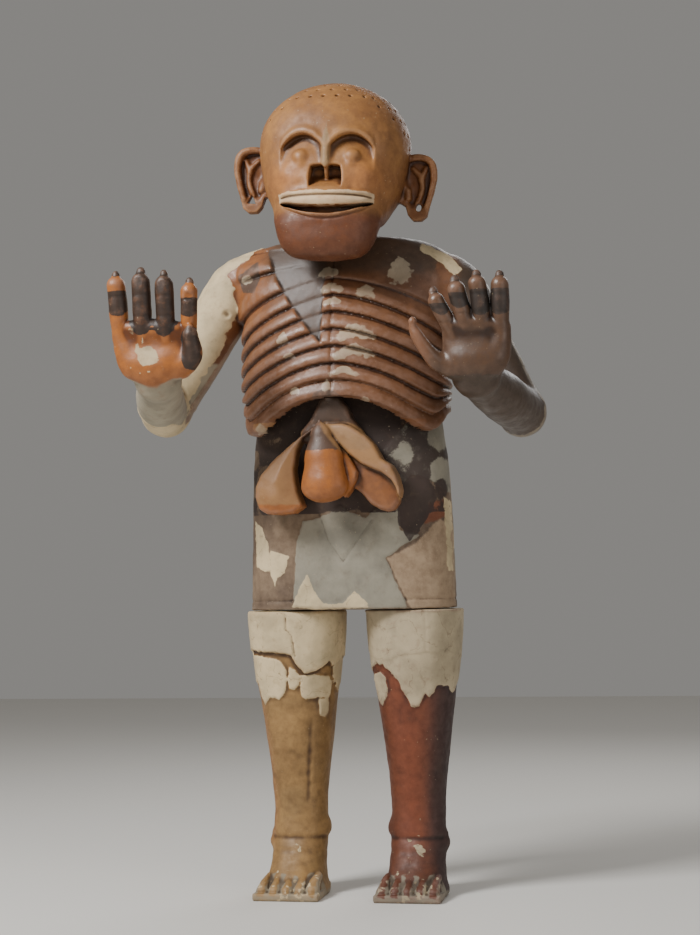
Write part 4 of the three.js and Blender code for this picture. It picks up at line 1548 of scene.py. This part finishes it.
class STATUE_OT_chest(bpy.types.Operator):
    """Carves the ribbed chest with the arms, hands and liver"""

    bl_idname = "statue.chest"
    bl_label = "Chest, arms and liver"

    def execute(self, context):
        sizes, colours = context.scene.statue_sizes, context.scene.statue_colours
        block = carve_chest(sizes.chest_grid, sizes.rib_relief)
        piece = fired(block, "carved_chest_and_arms", None, chest_marks)
        # Brown burnished earthenware: the ribs catch bright highlights.
        material = fired_clay(
            "burnished_brown_earthenware",
            (tuple(colours.chest), "#6b452b", "#4d3d30", "#a5632e"),
            [
                ("dark", "#2b221c", 0.5, 0.8, 0.96),
                ("mend", "#4e3f35", 0.5, 1.2, 0.9),
                ("forearm", "#a59c87", 0.75, 4.0, 0.95),
                ("pale", "#a37b50", 0.5, 3.0, 0.8),
                ("worn", "#c9b89c", 0.4, 2.5, 0.62),
                ("lime", tuple(colours.lime), 0.8, 1.0, 0.96),
            ],
            gloss=0.32,
            flecked=0.3,
        )
        settle(piece, "chest_and_arms", material)
        return {"FINISHED"}


class STATUE_OT_trunk(bpy.types.Operator):
    """Carves the plain lower trunk with its mends and lime"""

    bl_idname = "statue.trunk"
    bl_label = "Lower trunk"

    def execute(self, context):
        sizes, colours = context.scene.statue_sizes, context.scene.statue_colours
        piece = fired(carve_trunk(sizes.lower_grid), "carved_lower_trunk", None, trunk_marks)
        # Matt earthenware under trowelled grey plaster and lime.
        material = fired_clay(
            "plastered_earthenware",
            ("#85705a", "#665342", "#a38b70", "#7d4a31"),
            [
                ("mend", tuple(colours.plaster), 0.85, 0.9, 0.95),
                # The dark coat is the hip's dark patch and, above the liver's foot, painted shade behind the liver.
                ("dark", "#3b2c26", 0.7, 1.0, 0.95),
                ("lime", tuple(colours.lime), 0.85, 0.8, 0.97),
            ],
            gloss=0.6,
            cracked=0.5,
        )
        settle(piece, "lower_trunk", material)
        return {"FINISHED"}


class STATUE_OT_legs(bpy.types.Operator):
    """Carves both legs with their feet, foot slabs and torn lime coats"""

    bl_idname = "statue.legs"
    bl_label = "Legs"

    def execute(self, context):
        sizes, colours = context.scene.statue_sizes, context.scene.statue_colours
        clays = {
            -1: ("#a07c4b", "#8b6a3e", "#8a6c42", "#9c6a3e"),
            1: ("#693a24", "#57301f", "#3f2a26", "#7c3f24"),
        }
        for side, name in ((-1, "right_leg"), (1, "left_leg")):
            block = carve_leg(side, sizes.lower_grid)
            piece = fired(block, f"carved_{name}", None, leg_marks(side))
            # Matt earthenware shins below a cracked lime coat.
            material = fired_clay(
                f"limed_earthenware_{name}",
                clays[side],
                [
                    ("mend", "#97907e", 0.8, 2.0, 0.75),
                    ("dark", "#4f3827", 0.6, 3.0, 0.7),
                    ("lime", tuple(colours.lime) if side < 0 else "#b9a98b", 0.85, 0.8, 0.97),
                ],
                gloss=0.5,
                cracked=0.55,
            )
            settle(piece, name, material)
        return {"FINISHED"}


class STATUE_OT_stage(bpy.types.Operator):
    """Sets the plain floor, the soft lights and the camera"""

    bl_idname = "statue.stage"
    bl_label = "Floor, lights and camera"

    def execute(self, context):
        scene = context.scene
        bpy.ops.mesh.primitive_plane_add(size=14, location=(0, 0, 0))
        floor = context.object
        floor.name = "floor"
        paint = bpy.data.materials.new("pale_floor_paint")
        paint.use_nodes = True
        shader = paint.node_tree.nodes["Principled BSDF"]
        shader.inputs["Base Color"].default_value = opaque("#d8d5cf")
        shader.inputs["Roughness"].default_value = 0.8
        floor.data.materials.append(paint)
        world = bpy.data.worlds.new("studio")
        world.use_nodes = True
        background = world.node_tree.nodes["Background"]
        background.inputs["Color"].default_value = opaque("#e9e6e1")
        background.inputs["Strength"].default_value = 0.3
        scene.world = world
        target = Vector((0, 0, 1.0))
        for name, place, size, power in (
            ("key", (-2.0, -2.3, 3.4), 1.2, 210),
            ("fill", (2.9, -2.6, 1.6), 2.4, 30),
            ("rim", (0.6, 2.8, 2.8), 1.8, 30),
        ):
            light = bpy.data.lights.new(name, "AREA")
            light.size, light.energy = size, power
            lamp = bpy.data.objects.new(name, light)
            lamp.location = place
            lamp.rotation_euler = (target - Vector(place)).to_track_quat("-Z", "Y").to_euler()
            scene.collection.objects.link(lamp)
        place_camera(scene)
        return {"FINISHED"}


def place_camera(scene):
    """The camera stands to the figure's left, looks up a little and leans by a degree."""
    azimuth, pitch, roll = (math.radians(a) for a in (12, 3.0858, 1.0))
    level = np.array([-math.sin(azimuth), math.cos(azimuth), 0])
    right = np.array([math.cos(azimuth), math.sin(azimuth), 0])
    ahead = level * math.cos(pitch) + np.array([0, 0, math.sin(pitch)])
    up = np.cross(right, ahead)
    leant_right = right * math.cos(roll) - up * math.sin(roll)
    leant_up = right * math.sin(roll) + up * math.cos(roll)
    spot = -level * 4.4264 + right * -0.0077 + np.array([0, 0, 0.6935])
    spot += np.array([-MIDDLE_X, MIDDLE_FORWARD, 0]) / 1000
    camera = bpy.data.cameras.new("camera")
    camera.sensor_width, camera.lens = 36, 2000 / 935 * 36
    stand = bpy.data.objects.new("camera", camera)
    axes = np.stack([leant_right, leant_up, -ahead], axis=1)
    stand.matrix_world = Matrix.Translation(spot) @ Matrix(axes.tolist()).to_4x4()
    scene.collection.objects.link(stand)
    scene.camera = stand


class STATUE_PT_panel(bpy.types.Panel):
    bl_label = "Ceramic death god statue"
    bl_idname = "STATUE_PT_panel"
    bl_space_type = "VIEW_3D"
    bl_region_type = "UI"
    bl_category = "Statue"

    def draw(self, context):
        layout = self.layout
        for group in (context.scene.statue_sizes, context.scene.statue_colours):
            for key in group.bl_rna.properties.keys():
                if key not in ("rna_type", "name"):
                    layout.prop(group, key)
        for operator in OPERATORS:
            layout.operator(operator.bl_idname)


OPERATORS = (STATUE_OT_head, STATUE_OT_chest, STATUE_OT_trunk, STATUE_OT_legs, STATUE_OT_stage)
CLASSES = (StatueSizes, StatueColours, *OPERATORS, STATUE_PT_panel)


def register():
    for one in CLASSES:
        bpy.utils.register_class(one)
    bpy.types.Scene.statue_sizes = bpy.props.PointerProperty(type=StatueSizes)
    bpy.types.Scene.statue_colours = bpy.props.PointerProperty(type=StatueColours)


def unregister():
    del bpy.types.Scene.statue_sizes
    del bpy.types.Scene.statue_colours
    for one in reversed(CLASSES):
        bpy.utils.unregister_class(one)


def main():
    register()
    bpy.ops.statue.head()
    bpy.ops.statue.chest()
    bpy.ops.statue.trunk()
    bpy.ops.statue.legs()
    bpy.ops.statue.stage()


if __name__ == "__main__":
    main()
